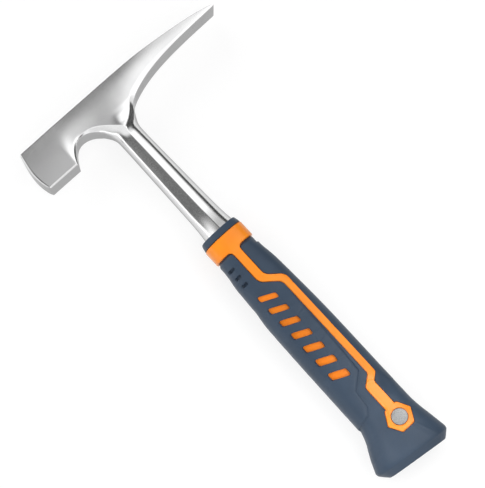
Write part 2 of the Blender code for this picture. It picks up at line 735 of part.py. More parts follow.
def settle(pieces):
    """Hang the pieces on one empty that puts the middle of the hammer's footprint at the origin."""
    bpy.context.view_layer.update()
    graph = bpy.context.evaluated_depsgraph_get()
    corners = []
    for piece in pieces:
        corners.extend(Vector(corner) for corner in piece.evaluated_get(graph).bound_box)
    low = Vector(min(corner[axis] for corner in corners) for axis in range(3))
    high = Vector(max(corner[axis] for corner in corners) for axis in range(3))
    hammer = bpy.data.objects.new("hammer", None)
    bpy.context.collection.objects.link(hammer)
    hammer.location = (-(low.x + high.x) / 2.0, -(low.y + high.y) / 2.0, -low.z)
    for item in bpy.data.objects:
        if item is not hammer:
            item.parent = hammer


def main():
    """Build the hammer."""
    for item in list(bpy.data.objects):
        bpy.data.objects.remove(item)
    steel = material("polished steel", (0.62, 0.62, 0.62), 0.16, 1.0)
    orange = material("orange plastic", (0.95, 0.32, 0.03), 0.35, 0.0)
    slate = material("slate rubber", (0.06, 0.085, 0.125), 0.55, 0.0)
    rivet = material("rivet steel", (0.5, 0.5, 0.49), 0.4, 1.0)
    body = forged_body(steel)
    drill_tang(body)
    settle([body, front_ring(slate), grip_core(orange), grip_skin(slate),
            rivet_stud(rivet), rivet_cap(rivet)])


main()
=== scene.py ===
"""Looks of a brick hammer: a polished forging in a soft grip with a bright moulded core.

The hammer lies on its side on a pale floor. Shapes are drawn in the hammer's own millimetres, with x
towards the blade, y from the butt to the head and z up from the middle plane, and are then carried
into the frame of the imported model.
"""

import logging
from dataclasses import dataclass, field
from enum import Enum
from functools import lru_cache, reduce
from math import atan2, ceil, copysign, cos, hypot, pi, radians, sin, sqrt, tan
from typing import Callable, Iterable, NamedTuple, Sequence, Union

import bmesh
import bpy
from mathutils import Matrix, Vector


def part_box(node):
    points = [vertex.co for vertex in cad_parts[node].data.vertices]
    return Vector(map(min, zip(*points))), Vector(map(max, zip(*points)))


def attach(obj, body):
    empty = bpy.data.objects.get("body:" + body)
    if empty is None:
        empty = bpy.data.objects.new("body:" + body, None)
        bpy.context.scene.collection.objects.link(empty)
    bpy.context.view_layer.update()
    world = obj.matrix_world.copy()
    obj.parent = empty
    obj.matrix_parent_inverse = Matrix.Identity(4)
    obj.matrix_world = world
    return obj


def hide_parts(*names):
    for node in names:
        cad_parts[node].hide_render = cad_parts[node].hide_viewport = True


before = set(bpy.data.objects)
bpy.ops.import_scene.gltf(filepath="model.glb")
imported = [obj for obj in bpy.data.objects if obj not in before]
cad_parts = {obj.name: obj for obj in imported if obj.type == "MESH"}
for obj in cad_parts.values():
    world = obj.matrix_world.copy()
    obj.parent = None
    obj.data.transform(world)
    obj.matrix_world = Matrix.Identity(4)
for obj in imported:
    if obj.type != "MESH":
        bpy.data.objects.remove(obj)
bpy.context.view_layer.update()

LOG = logging.getLogger("brick_hammer")
MM = 0.001
SOFT_NORMAL = "soft_normal"
RIVET_SPOT = (3.4, 22.5)
CUT_SLACK = 1e-5
TINY = 1e-4
ALL_SMOOTH = 180.0
ROUND_STEP = 1.6
ALONG_STEP = 2.2
FINE_STEP = 1.5
WHITE = (1.0, 1.0, 1.0, 1.0)
ACROSS, ALONG, UP = (1.0, 0.0, 0.0), (0.0, 1.0, 0.0), (0.0, 0.0, 1.0)

Spot = tuple[float, float]
Point = tuple[float, float, float]
Relief = Callable[[float, float], float]
Socket = bpy.types.NodeSocket
Feed = Union[float, Sequence[float], Socket]
BMesh, BMVert = bmesh.types.BMesh, bmesh.types.BMVert
BMEdge, BMFace = bmesh.types.BMEdge, bmesh.types.BMFace


class Slot(Enum):
    """Material slots of the record."""

    STEEL = "polished_steel"
    RUBBER = "slate_rubber"
    PLASTIC = "orange_plastic"
    RIVET = "rivet_steel"


class Side(Enum):
    """The two faces of the hammer."""

    NEAR = "near"
    FAR = "far"


class Lines(Enum):
    """Straight lines on the grip's flat drawing, each with the direction square to it."""

    LENGTHWISE = ACROSS
    CROSSWISE = ALONG


# Shared tools


class NodeBench:
    """Adds shader nodes to one tree and wires them together."""

    def __init__(self, tree: bpy.types.NodeTree) -> None:
        """Take the tree that the nodes go into."""
        self.tree = tree

    def plug(self, feed: Feed, socket: Socket) -> None:
        """Wire an input to another socket, or give it a value.

        Args:
            feed: the socket or the value.
            socket: the input.
        """
        if isinstance(feed, Socket):
            self.tree.links.new(feed, socket)
        else:
            socket.default_value = feed

    def add(self, kind: str, feeds: dict[Union[str, int], Feed] | None = None,
            **settings: object) -> bpy.types.Node:
        """Add one node.

        Args:
            kind: Blender's name of the node type, without the ShaderNode part.
            feeds: values or sockets for the node's inputs, by name or number.
            settings: the node's own properties.

        Returns:
            The new node.
        """
        node = self.tree.nodes.new("ShaderNode" + kind)
        for name, value in settings.items():
            setattr(node, name, value)
        for key, feed in (feeds or {}).items():
            self.plug(feed, node.inputs[key])
        return node

    def math(self, operation: str, *feeds: Feed) -> Socket:
        """Add a Math node and return its result."""
        return self.add("Math", dict(enumerate(feeds)), operation=operation).outputs[0]

    def dot(self, vector: Feed, axis: Point) -> Socket:
        """Return how far a vector runs along an axis."""
        return self.add("VectorMath", {0: vector, 1: axis}, operation="DOT_PRODUCT").outputs["Value"]

    def step(self, value: Feed, low: float, high: float, start: float = 0.0, end: float = 1.0) -> Socket:
        """Ease a value from start to end while it goes from low to high."""
        feeds = {"Value": value, "From Min": low, "From Max": high, "To Min": start, "To Max": end}
        return self.add("MapRange", feeds, interpolation_type="SMOOTHSTEP").outputs["Result"]

    def noise(self, coords: Feed, scale: float, detail: float, roughness: float) -> Socket:
        """Return a noise pattern, around 0.5, with its size given in patterns per metre."""
        feeds = {"Vector": coords, "Scale": scale, "Detail": detail, "Roughness": roughness}
        return self.add("TexNoise", feeds).outputs["Fac"]

    def blend(self, share: Feed, first: Point, second: Point) -> Socket:
        """Mix two colours."""
        feeds = {"Factor": share, 6: (*first, 1.0), 7: (*second, 1.0)}
        return self.add("Mix", feeds, data_type="RGBA").outputs[2]


@dataclass(frozen=True)
class Placement:
    """Where the hammer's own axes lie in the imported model."""

    shift: Vector

    @classmethod
    def of_rivet(cls, x: float, y: float) -> "Placement":
        """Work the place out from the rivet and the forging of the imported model.

        Args:
            x: the rivet's place across the hammer.
            y: the rivet's place along the hammer.

        Returns:
            The placement.
        """
        low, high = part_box("rivet_stud")
        base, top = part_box("forged_body")
        rivet = (low + high) / (2.0 * MM)
        return cls(Vector((rivet.x - x, rivet.y - y, (base.z + top.z) / (2.0 * MM))))

    def matrix(self) -> Matrix:
        """The matrix from hammer millimetres to metres in the row frame."""
        return Matrix.Scale(MM, 4) @ Matrix.Translation(self.shift)


@dataclass(kw_only=True)
class SubAssembly:
    """A part of the hammer that stands for one CAD node."""

    place: Placement
    node: str
    slot: Slot

    def make(self, name: str, bm: BMesh, sharp: float = 50.0) -> bpy.types.Object:
        """Turn a shape in hammer millimetres into an object in its place.

        Args:
            name: the name of the object.
            bm: the shape, which is freed.
            sharp: angle in degrees past which an edge is shaded sharp.

        Returns:
            The new object.
        """
        bmesh.ops.transform(bm, matrix=self.place.matrix(), verts=bm.verts)
        mesh = bpy.data.meshes.new(name)
        bm.to_mesh(mesh)
        bm.free()
        mesh.shade_smooth()
        mesh.set_sharp_from_angle(angle=radians(sharp))
        smooth = mesh.attributes.get(SOFT_NORMAL)
        if smooth:
            mesh.normals_split_custom_set_from_vertices([tuple(item.vector) for item in smooth.data])
            mesh.attributes.remove(mesh.attributes[SOFT_NORMAL])
        piece = bpy.data.objects.new(name, mesh)
        bpy.context.collection.objects.link(piece)
        return piece

    def dress(self, piece: bpy.types.Object, finish: bpy.types.Material) -> None:
        """Give a piece its material, and let it stand for its CAD node.

        Args:
            piece: the object.
            finish: its material.
        """
        piece.data.materials.append(finish)
        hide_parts(self.node)
        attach(piece, "root")
        LOG.info("%s: %d faces", piece.name, len(piece.data.polygons))


def smooth_through(value: float, pairs: Sequence[Spot]) -> float:
    """Read a smooth curve through (position, value) pairs in rising order of position.

    Args:
        value: the position.
        pairs: the points of the curve.

    Returns:
        The value there, held at the two ends.
    """
    if value <= pairs[0][0]:
        return pairs[0][1]
    slopes = [(b[1] - a[1]) / (b[0] - a[0]) for a, b in zip(pairs, pairs[1:])]
    tangents = [slopes[0]]
    for before, after in zip(slopes, slopes[1:]):
        product = before * after
        tangents.append(2.0 * product / (before + after) if product > 0.0 else 0.0)
    tangents.append(slopes[-1])
    for index, (start, end) in enumerate(zip(pairs, pairs[1:])):
        if value <= end[0]:
            span = end[0] - start[0]
            t = (value - start[0]) / span
            hold = 2.0 * t ** 3 - 3.0 * t ** 2 + 1.0
            lean_in = (t ** 3 - 2.0 * t ** 2 + t) * span * tangents[index]
            lean_out = (t ** 3 - t ** 2) * span * tangents[index + 1]
            return hold * start[1] + (1.0 - hold) * end[1] + lean_in + lean_out
    return pairs[-1][1]


def ease(share: float) -> float:
    """Ease a share from 0 to 1, held at both ends."""
    share = min(1.0, max(0.0, share))
    return share * share * (3.0 - 2.0 * share)


def fade(value: float, span: Spot) -> float:
    """Ease from 0 at the start of a (start, length) span to 1 at its end; a negative length runs back."""
    return ease((value - span[0]) / span[1])


def rounded(corners: Sequence[Point], steps: int = 6) -> list[Vector]:
    """Round the corners of a closed outline.

    Args:
        corners: (x, y, radius) of each corner; a radius of 0 keeps the corner sharp.
        steps: how many pieces each arc has.

    Returns:
        The points of the outline.
    """
    outline = []
    for index, (x, y, radius) in enumerate(corners):
        here = Vector((x, y))
        if radius <= 0.0:
            outline.append(here)
            continue
        back = Vector(corners[index - 1][:2]) - here
        on = Vector(corners[(index + 1) % len(corners)][:2]) - here
        half = back.angle(on) / 2.0
        reach = min(radius / tan(half), 0.48 * back.length, 0.48 * on.length)
        start = here + back.normalized() * reach
        end = here + on.normalized() * reach
        for step in range(steps + 1):
            t = step / steps
            outline.append(start * (1.0 - t) ** 2 + here * (2.0 * t * (1.0 - t)) + end * t ** 2)
    return outline


def grown(outline: Sequence[Vector], margin: float) -> list[Vector]:
    """Move every side of an outline outwards.

    Args:
        outline: the points, anticlockwise.
        margin: how far the sides move.

    Returns:
        The larger outline.
    """
    result = []
    for index, here in enumerate(outline):
        into = (here - outline[index - 1]).normalized()
        away = (outline[(index + 1) % len(outline)] - here).normalized()
        bisector = Vector((into.y + away.y, -into.x - away.x))
        result.append(here + bisector * (2.0 * margin / bisector.length_squared))
    return result


def divided(outline: Sequence[Vector], longest: float) -> list[Vector]:
    """Split the long sides of a closed outline.

    Args:
        outline: the points.
        longest: length of the longest side that stays whole.

    Returns:
        The points, with those between them.
    """
    result = []
    for here, after in zip(outline, [*outline[1:], outline[0]]):
        count = max(1, ceil((after - here).length / longest))
        result.extend(here.lerp(after, step / count) for step in range(count))
    return result


def spread_evenly(low: float, high: float, longest: float) -> list[float]:
    """Even places between two ends, without the ends."""
    count = max(1, ceil((high - low) / longest))
    return [low + (high - low) * index / count for index in range(1, count)]


def whole(bm: BMesh) -> list[Union[BMVert, BMEdge, BMFace]]:
    """Everything that a shape is made of."""
    return bm.verts[:] + bm.edges[:] + bm.faces[:]


def face_out(bm: BMesh) -> None:
    """Turn all faces of a shape outwards."""
    bmesh.ops.recalc_face_normals(bm, faces=bm.faces)


def row_of(bm: BMesh, points: Iterable[Sequence[float]]) -> list[BMVert]:
    """Add a row of loose vertices."""
    return [bm.verts.new(point) for point in points]


def ring_edges(bm: BMesh, points: Iterable[Sequence[float]]) -> list[BMEdge]:
    """Add a closed loop of edges through some points."""
    verts = row_of(bm, points)
    return [bm.edges.new(pair) for pair in zip(verts, verts[1:] + verts[:1])]


def lofted(rows: Iterable[Sequence[Vector]], endless: bool) -> BMesh:
    """Bridge closed rows of points into one solid.

    Args:
        rows: the rows, in order.
        endless: whether the last row meets the first; if not, both ends are filled.

    Returns:
        The solid.
    """
    bm = bmesh.new()
    loops = [ring_edges(bm, row) for row in rows]
    for first, second in zip(loops, loops[1:]):
        bmesh.ops.bridge_loops(bm, edges=first + second)
    if endless:
        bmesh.ops.bridge_loops(bm, edges=loops[-1] + loops[0])
    else:
        for end in (loops[0], loops[-1]):
            bmesh.ops.edgeloop_fill(bm, edges=end)
    face_out(bm)
    return bm


# The forging


class Station(NamedTuple):
    """Control points of half the head at one place along it."""

    top: tuple[float, ...]
    fold: tuple[float, ...]
    edge: Point
    wall: Point


@dataclass(frozen=True)
class NeckRelief:
    """The ridge that the shaft leaves in the cheek, and the way the cheek falls off beside it.

    A pair is a span for fade: the place where a change starts and the length that it takes.
    """

    depth: Spot = (7.5, 3.0)
    start: Spot = (246.5, 4.0)
    ridge_x: float = 0.4
    ridge_height: float = 0.25
    ridge_reach: float = 5.0
    ridge_round: float = 0.12
    ridge_end: Spot = (260.0, -6.0)
    fall_slope: float = 0.075
    fall_reach: float = 12.0
    fall_round: float = 1.2
    fall_end: Spot = (261.5, -8.0)
    roll_slope: float = 0.09
    roll_top: float = 257.5
    roll_reach: float = 4.5
    roll_start: Spot = (-1.0, 6.0)

    def rise(self, spot: Vector) -> float:
        """Tell how far the cheek rises at a point of the forging.

        Args:
            spot: the point.

        Returns:
            The height in millimetres, below 0 where the cheek falls.
        """
        aside = spot.x - self.ridge_x
        near = fade(abs(spot.z), self.depth) * fade(spot.y, self.start)
        left = max(0.0, 1.0 - hypot(min(aside, 0.0) / self.ridge_reach, self.ridge_round)) ** 2
        ridge = self.ridge_height * left * fade(spot.y, self.ridge_end)
        right = 0.5 * (aside + hypot(aside, self.fall_round))
        fall = self.fall_slope * min(right, self.fall_reach) * fade(spot.y, self.fall_end)
        under = min(max(0.0, self.roll_top - spot.y), self.roll_reach)
        return near * (ridge - fall - self.roll_slope * under * fade(spot.x, self.roll_start))


@dataclass(kw_only=True)
class Forging(SubAssembly):
    """Head, shaft and tang, forged in one piece from steel."""

    node: str = "forged_body"
    slot: Slot = Slot.STEEL
    neck: NeckRelief = NeckRelief()
    half: float = 12.5
    top_ease: float = 0.2
    brow_share: float = 0.25
    hem_share: float = 0.78
    bevel: float = 0.9
    bevel_run: float = 0.75
    crown: float = 2.6
    face_middle: Spot = (-59.1, 264.6)
    face_half_height: float = 13.1
    neck_y: float = 238.0
    neck_spread: Spot = (0.9, 2.6)
    ring_y: float = 170.0
    seat_y: float = 165.9
    seat_flare: Spot = (1.2, 1.0)
    tang_end: float = 12.0
    tang_half: Spot = (8.5, 3.5)
    ridge_x: Spot = (0.25, 1.05)
    ridge_height: float = 9.6
    reach_left: Spot = (7.4, 1.0)
    reach_right: Spot = (8.1, 2.3)
    round_run: float = 16.0
    pinch_run: float = 8.0
    shaft_shoulder: float = 0.77
    levels: int = 4
    flare: tuple[Point, ...] = (
        (76.0, 0.0, 0.15), (68.0, 0.0, 0.0), (34.0, 0.0, -0.2), (17.0, 0.0, -0.45),
        (12.0, 0.05, -0.4), (7.0, 0.2, -0.05), (3.0, 0.5, 0.35), (0.0, 0.85, 0.65),
    )
    poll: tuple[Station, ...] = (
        Station((-54.7, 277.7), (-54.7, 265.2), (-54.7, 252.2, 12.24), (-54.7, 251.5, 11.6)),
        Station((-44.2, 277.8), (-44.2, 265.2), (-44.2, 252.2, 12.22), (-44.2, 251.5, 11.6)),
        Station((-33.8, 277.9), (-33.8, 266.0), (-34.2, 252.2, 12.2), (-33.8, 251.5, 11.6)),
        Station((-29.6, 277.9, 12.45), (-30.2, 268.6), (-30.9, 259.4, 11.5), (-30.1, 258.4, 10.4)),
        Station((-24.3, 277.9, 12.4), (-24.7, 271.4), (-25.1, 263.5, 12.0), (-25.1, 262.7, 10.8)),
        Station((-16.9, 277.9, 12.37), (-16.9, 271.6), (-16.9, 263.1, 12.0), (-17.4, 262.0, 10.5)),
        Station((-8.9, 277.9, 12.35), (-9.4, 271.0), (-9.8, 260.4, 12.0), (-10.6, 256.7, 9.1)),
    )
    joint: Station = Station((0.0, 277.9, 12.33), (0.4, 270.6), (1.1, 250.1, 12.25), (-6.9, 248.8, 8.0))
    joint_right: Point = (7.0, 248.9, 9.4)
    blade: tuple[Station, ...] = (
        Station((12.0, 277.9, 12.33), (10.0, 271.4), (9.5, 254.7, 11.7), (11.3, 253.5, 9.3)),
        Station((18.3, 277.8, 12.35), (16.2, 272.2), (13.6, 261.9, 11.85), (14.0, 258.5, 11.0)),
        Station((26.9, 277.7, 12.4), (25.0, 272.8, 12.48), (23.0, 265.3, 11.8), (23.0, 262.4, 11.3)),
        Station((37.9, 277.1), (36.5, 273.0, 12.38), (34.7, 268.4, 11.85), (34.7, 265.6, 11.5)),
        Station((51.9, 275.6), (51.2, 272.4, 12.3), (50.4, 269.2, 11.95), (50.4, 267.6, 11.7)),
        Station((69.2, 273.6), (68.9, 271.4, 12.34), (68.4, 269.3, 12.1), (68.4, 268.4, 11.9)),
        Station((84.0, 270.6), (84.0, 269.8, 12.42), (84.0, 269.0, 12.25), (84.0, 268.6, 12.15)),
        Station((86.4, 269.05), (86.4, 268.98), (86.4, 268.9, 12.35), (86.4, 268.75, 12.3)),
    )

    def shaft_half(self, height: float, margin: float = 0.0, lift: float = 0.0) -> list[Point]:
        """Control points of half the shaft's section, from the poll's side over the ridge to the blade's.

        Args:
            height: place along the hammer.
            margin: growth of the section to the sides.
            lift: growth of the section's height.

        Returns:
            Five points.
        """
        share = min(1.0, max(0.0, (self.neck_y - height) / (self.neck_y - self.ring_y)))
        ridge_x, left, right = (at_neck + growth * share for at_neck, growth
                                in (self.ridge_x, self.reach_left, self.reach_right))
        ridge = self.ridge_height + lift
        round_it = fade(height, (self.ring_y + self.round_run, -self.round_run))
        pinch = fade(height, (self.neck_y, self.pinch_run))
        level = (self.shaft_shoulder + 0.08 * max(0.0, lift + 0.45)) * ridge
        left_wide = 0.9 - 0.07 * share - 0.2 * round_it
        right_wide = 0.73 + 0.15 * (1.0 - share) ** 2 - 0.08 * pinch
        section = [(ridge_x, height, ridge)]
        for side, wide, reach, drop in ((-1, left_wide, left + margin, 0.0),
                                        (1, right_wide, right + margin, 0.6 * pinch)):
            shoulder = ridge_x + wide * (side * reach - ridge_x)
            half = [(shoulder, height, level - drop), (1.5 * side * reach - 0.5 * shoulder, height, 0.0)]
            section = section + half if side > 0 else half[::-1] + section
        return section

    def tang_half_section(self, height: float) -> list[Point]:
        """Control points of half the tang's section, a flat bar."""
        wide, thick = self.tang_half
        return [(x, height, z) for x, z
                in ((-wide, 0.0), (-wide, thick), (0.0, thick), (wide, thick), (wide, 0.0))]

    def handle_rows(self) -> list[list[Point]]:
        """Control points of the shaft and the tang.

        Returns:
            The five rows that run down them.
        """
        flare = [(self.ring_y + run, margin, lift) for run, margin, lift in self.flare]
        sections = [self.shaft_half(*section) for section in (*flare, (self.seat_y, *self.seat_flare))]
        sections += [self.tang_half_section(height) for height in (self.seat_y, self.tang_end)]
        return [list(row) for row in zip(*sections)]

    @staticmethod
    def skin(bm: BMesh, first: Sequence[BMVert], second: Sequence[BMVert]) -> None:
        """Fill quads between two rows of vertices."""
        for quad in zip(first, first[1:], second[1:], second):
            bm.faces.new(quad)

    @staticmethod
    def crease(bm: BMesh, row: Sequence[BMVert], weight: float) -> None:
        """Sharpen the edges along a row of vertices.

        Args:
            bm: the cage.
            row: the vertices.
            weight: how sharp the edges get, up to 1.
        """
        layer = bm.edges.layers.float["crease_edge"]
        for pair in zip(row, row[1:]):
            edge = bm.edges.get(pair)
            if edge:
                edge[layer] = weight

    def striking_face(self, bm: BMesh, rim: Sequence[BMVert]) -> None:
        """Close the poll with a bevelled, crowned striking face.

        Args:
            bm: the cage.
            rim: the vertices round the end of the poll.
        """
        face = []
        for vert in rim:
            up = (vert.co.y - self.face_middle[1]) / self.face_half_height
            out = vert.co.z / self.half
            vert.co.x -= self.crown * (1.0 - up ** 2)
            face.append(bm.verts.new((vert.co.x - self.bevel_run * self.bevel, vert.co.y - self.bevel * up,
                                      vert.co.z - self.bevel * out)))
        self.skin(bm, face, rim)
        centre = bm.verts.new((*self.face_middle, 0.0))
        bm.faces.new((centre, *face[0:4]))
        bm.faces.new((centre, *face[3:8]))
        self.crease(bm, rim, 1.0)
        self.crease(bm, face, 1.0)

    def cage(self) -> BMesh:
        """Model half of the forging as a control cage.

        Returns:
            The cage, with its creases.
        """
        bm = bmesh.new()
        bm.edges.layers.float.new("crease_edge")
        stations = [*self.poll, self.joint, *self.blade]
        joint, last = len(self.poll), len(self.blade)
        left_side, left_shoulder, ridge, right_shoulder, right_side = self.handle_rows()
        spread_left, spread_right = self.neck_spread

        high = [(*s.top, self.half)[2] for s in stations]
        crown = row_of(bm, [(*s.top[:2], 0.0) for s in stations])
        shoulder = row_of(bm, [(*s.top[:2], z - self.top_ease) for s, z in zip(stations, high)])
        eased = [min(self.top_ease, self.brow_share * (s.top[1] - s.edge[1])) for s in stations]
        brow = row_of(bm, [(s.top[0], s.top[1] - drop, z) for s, drop, z in zip(stations, eased, high)])
        fold = row_of(bm, [(*s.fold, self.half)[:3] for s in stations])
        hem = row_of(bm, [vert.co.lerp(Vector(s.edge), self.hem_share) for vert, s in zip(fold, stations)])
        edge = row_of(bm, [s.edge for s in stations])
        spine = row_of(bm, ridge)
        walls_left = [s.wall for s in (*self.poll, self.joint)]
        walls_right = [s.wall for s in reversed(self.blade)] + [self.joint_right]
        wall_l = row_of(bm, [*walls_left, *left_shoulder])
        wall_r = row_of(bm, [*walls_right, *right_shoulder])
        under_l = row_of(bm, [*((x - spread_left * (index == joint), y, 0.0)
                                for index, (x, y, _) in enumerate(walls_left)), *left_side])
        under_r = row_of(bm, [*((x + spread_right * (index == last), y, 0.0)
                                for index, (x, y, _) in enumerate(walls_right)), *right_side])

        for first, second in ((crown, shoulder), (shoulder, brow), (brow, fold), (fold, hem), (hem, edge),
                              (edge[:joint + 1] + spine, wall_l), (wall_l, under_l),
                              (wall_r, edge[:joint - 1:-1] + spine), (under_r, wall_r)):
            self.skin(bm, first, second)
        head = (crown, shoulder, brow, fold, hem, edge)
        self.striking_face(bm, [*(row[0] for row in head), wall_l[0], under_l[0]])
        tip = (*(row[-1] for row in head), wall_r[0], under_r[0])
        rings = [[row[index] for row in (under_l, wall_l, spine, wall_r, under_r)] for index in (-3, -2, -1)]
        bm.faces.new(tip)
        bm.faces.new(rings[-1])

        creases = (
            (shoulder, 0.8), (brow, 0.8), (edge[:3], 1.0), (edge[2:5], 0.15), (edge[4:joint], 0.6),
            (edge[joint - 1:joint + 1], 0.8), (edge[joint + 1:], 0.4), (edge[joint:joint + 2], 0.5),
            ([edge[joint], *spine], 1.0), (wall_l[:joint], 1.0), (wall_l[joint - 1:joint + 1], 0.4),
            (wall_r[:joint], 1.0), (wall_r[joint - 1:joint + 2], 0.5), ([fold[2], hem[2], edge[2]], 0.7),
            ([edge[2], wall_l[2], under_l[2]], 1.0), (tip, 1.0), (wall_l[-2:], 1.0), (wall_r[-2:], 1.0),
            *((ring, 1.0) for ring in rings),
        )
        for row, weight in creases:
            self.crease(bm, row, weight)
        face_out(bm)
        return bm

    def build(self) -> bpy.types.Object:
        """Make the forging from its cage.

        Returns:
            The object.
        """
        cage = self.cage()
        bmesh.ops.mirror(cage, geom=whole(cage), axis="Z", merge_dist=0.001)
        face_out(cage)
        rough = self.make("rough_forging", cage, ALL_SMOOTH)
        smooth = rough.modifiers.new("smooth", "SUBSURF")
        smooth.levels = smooth.render_levels = self.levels
        bm = self.finished(rough)
        bpy.data.objects.remove(rough)
        for vert in bm.verts:
            vert.co.z += copysign(1.0, vert.co.z) * self.neck.rise(vert.co)
        return self.make("forged_head_and_shaft", bm, ALL_SMOOTH)

    def finished(self, piece: bpy.types.Object) -> BMesh:
        """Copy a piece with its modifiers applied.

        Args:
            piece: the piece.

        Returns:
            Its shape in hammer millimetres.
        """
        body = piece.evaluated_get(bpy.context.evaluated_depsgraph_get())
        bm = bmesh.new()
        bm.from_mesh(body.to_mesh())
        body.to_mesh_clear()
        bmesh.ops.transform(bm, matrix=self.place.matrix().inverted(), verts=bm.verts)
        return bm

    def section(self, piece: bpy.types.Object, height: float) -> list[Vector]:
        """Slice the finished forging square to the shaft.

        Args:
            piece: the forging.
            height: where to slice.

        Returns:
            Points (x, z) of the section in hammer millimetres.
        """
        bm = self.finished(piece)
        cut = bmesh.ops.bisect_plane(bm, geom=whole(bm), dist=CUT_SLACK, plane_co=(0.0, height, 0.0),
                                     plane_no=ALONG)
        points = [Vector((item.co.x, item.co.z)) for item in cut["geom_cut"] if isinstance(item, BMVert)]
        bm.free()
        return points


# The grip


@dataclass(frozen=True, eq=False)
class GripForm:
    """The grip's outer form: sections that change along the handle and lean with the base of the butt."""

    collar_top: float = 165.6
    collar_low: float = 155.5
    collar_reach: float = 13.3
    collar_depth: float = 12.2
    palm_y: float = 85.0
    palm_reach: float = 16.4
    palm_depth: float = 13.8
    kink_y: float = 32.0
    kink_reach: float = 16.8
    butt_y: float = 4.0
    butt_left: float = 27.3
    butt_right: float = 20.4
    butt_depth: float = 15.4
    base_tilt: float = 7.1
    squareness: float = 2.6
    flat_scale: float = 16.0
    base_runs: tuple[float, ...] = (0.0, 0.8, 1.6, 1.95, 2.3, 2.6, 2.9, 4.3, 5.8, 7.2, 7.6, 8.0, 8.3, 8.6)
    base_insets: tuple[Spot, ...] = ((0.0, 0.0), (1.6, 0.25), (2.3, 0.6), (2.9, 1.05), (7.2, 4.3), (8.0, 4.85),
                                     (8.6, 5.4))
    base_falls: tuple[Spot, ...] = ((0.0, 0.0), (1.6, 1.6), (2.3, 2.2), (2.9, 2.65), (7.2, 5.95), (8.0, 6.38),
                                    (8.6, 6.5))

    @property
    def seam(self) -> float:
        """Where the flat drawing meets the middle plane of the hammer."""
        return self.flat_scale * pi / 2.0

    @lru_cache(maxsize=None)
    def reaches(self, height: float) -> tuple[float, float, float, float]:
        """Reach to the poll's side, reach to the blade's side, half depth and lean of one section.

        Args:
            height: place along the handle; below the butt the section shrinks into the base.

        Returns:
            The four values.
        """
        t = max(height, self.butt_y)
        top, reach, depth = self.collar_top, self.collar_reach, self.collar_depth
        flare = ((self.butt_y, self.butt_left), (self.kink_y - 18.5, self.butt_left - 3.4),
                 (self.kink_y - 7.0, self.kink_reach + 2.0), (self.kink_y, self.kink_reach))
        palm = ((self.kink_y, self.kink_reach), (self.palm_y, self.palm_reach - 0.1),
                (top - 29.0, reach + 1.5), (top - 15.0, reach - 0.1), (top, reach))
        left = smooth_through(t, flare if t < self.kink_y else palm)
        right = smooth_through(t, ((self.butt_y, self.butt_right), (self.kink_y - 3.0, self.kink_reach),
                                   (self.palm_y, self.palm_reach + 0.3), (top - 29.0, reach + 1.6),
                                   (top - 15.0, reach), (top, reach)))
        deep = smooth_through(t, ((self.butt_y, self.butt_depth), (self.kink_y, self.palm_depth),
                                  (self.palm_y, self.palm_depth), (top - 15.0, depth), (top, depth)))
        share = min(1.0, max(0.0, (self.kink_y - t) / (self.kink_y - self.butt_y)))
        return left, right, deep, -tan(radians(self.base_tilt)) * share

    def point(self, q: float, t: float) -> Vector:
        """A point of the surface.

        Args:
            q: place round the grip in the flat drawing, from seam to seam.
            t: place along the handle in the flat drawing.

        Returns:
            The point in hammer millimetres.
        """
        left, right, deep, lean = self.reaches(t)
        level = t
        if t < self.butt_y:
            run = self.butt_y - t
            inset = smooth_through(run, self.base_insets)
            level -= smooth_through(run, self.base_falls) - run
            left, right, deep = left - inset, right - inset, deep - inset
        angle = pi / 2.0 - q / self.flat_scale
        across, up = cos(angle), sin(angle)
        size = (abs(across) ** self.squareness + abs(up) ** self.squareness) ** (-1.0 / self.squareness)
        x = (right - left) / 2.0 + (right + left) / 2.0 * size * across
        return Vector((x, level + lean * x, deep * size * up))

    def tangents(self, q: float, t: float, step: float = 0.02) -> tuple[Vector, Vector]:
        """The directions round the grip and along it.

        Args:
            q: place round the grip in the flat drawing.
            t: place along it.
            step: how far to each side the surface is read.

        Returns:
            The two directions.
        """
        round_it = self.point(q + step, t) - self.point(q - step, t)
        along = self.point(q, t + step) - self.point(q, t - step)
        return round_it / (2.0 * step), along / (2.0 * step)

    def wrapped(self, q: float, t: float, w: float) -> Vector:
        """A point at a height above the surface."""
        round_it, along = self.tangents(q, t)
        return self.point(q, t) + round_it.cross(along).normalized() * w

    def flat(self, x: float, y: float) -> Spot:
        """The place in the flat drawing of a point seen square on to the near face.

        Args:
            x: place across the hammer.
            y: place along the hammer.

        Returns:
            The place (q, t) in the flat drawing.
        """
        t = y
        for _ in range(5):
            t = y - self.reaches(t)[3] * x
        left, right = self.reaches(t)[:2]
        across = min(1.0, max(-1.0, (x - (right - left) / 2.0) / ((right + left) / 2.0)))
        up = (1.0 - abs(across) ** self.squareness) ** (1.0 / self.squareness)
        return self.flat_scale * (pi / 2.0 - atan2(up, across)), t

    def loop(self, t: float, inset: float = 0.0, sides: int = 96, level: float | None = None) -> list[Vector]:
        """One whole section of the grip.

        Args:
            t: place along the handle.
            inset: how far the section lies inside the surface.
            sides: number of points.
            level: where to put the section instead of at t.

        Returns:
            The points, in order round the grip.
        """
        points = [self.wrapped(self.seam * 4.0 * index / sides, t, -inset) for index in range(sides)]
        if level is not None:
            for point in points:
                point.y += level - t
        return points


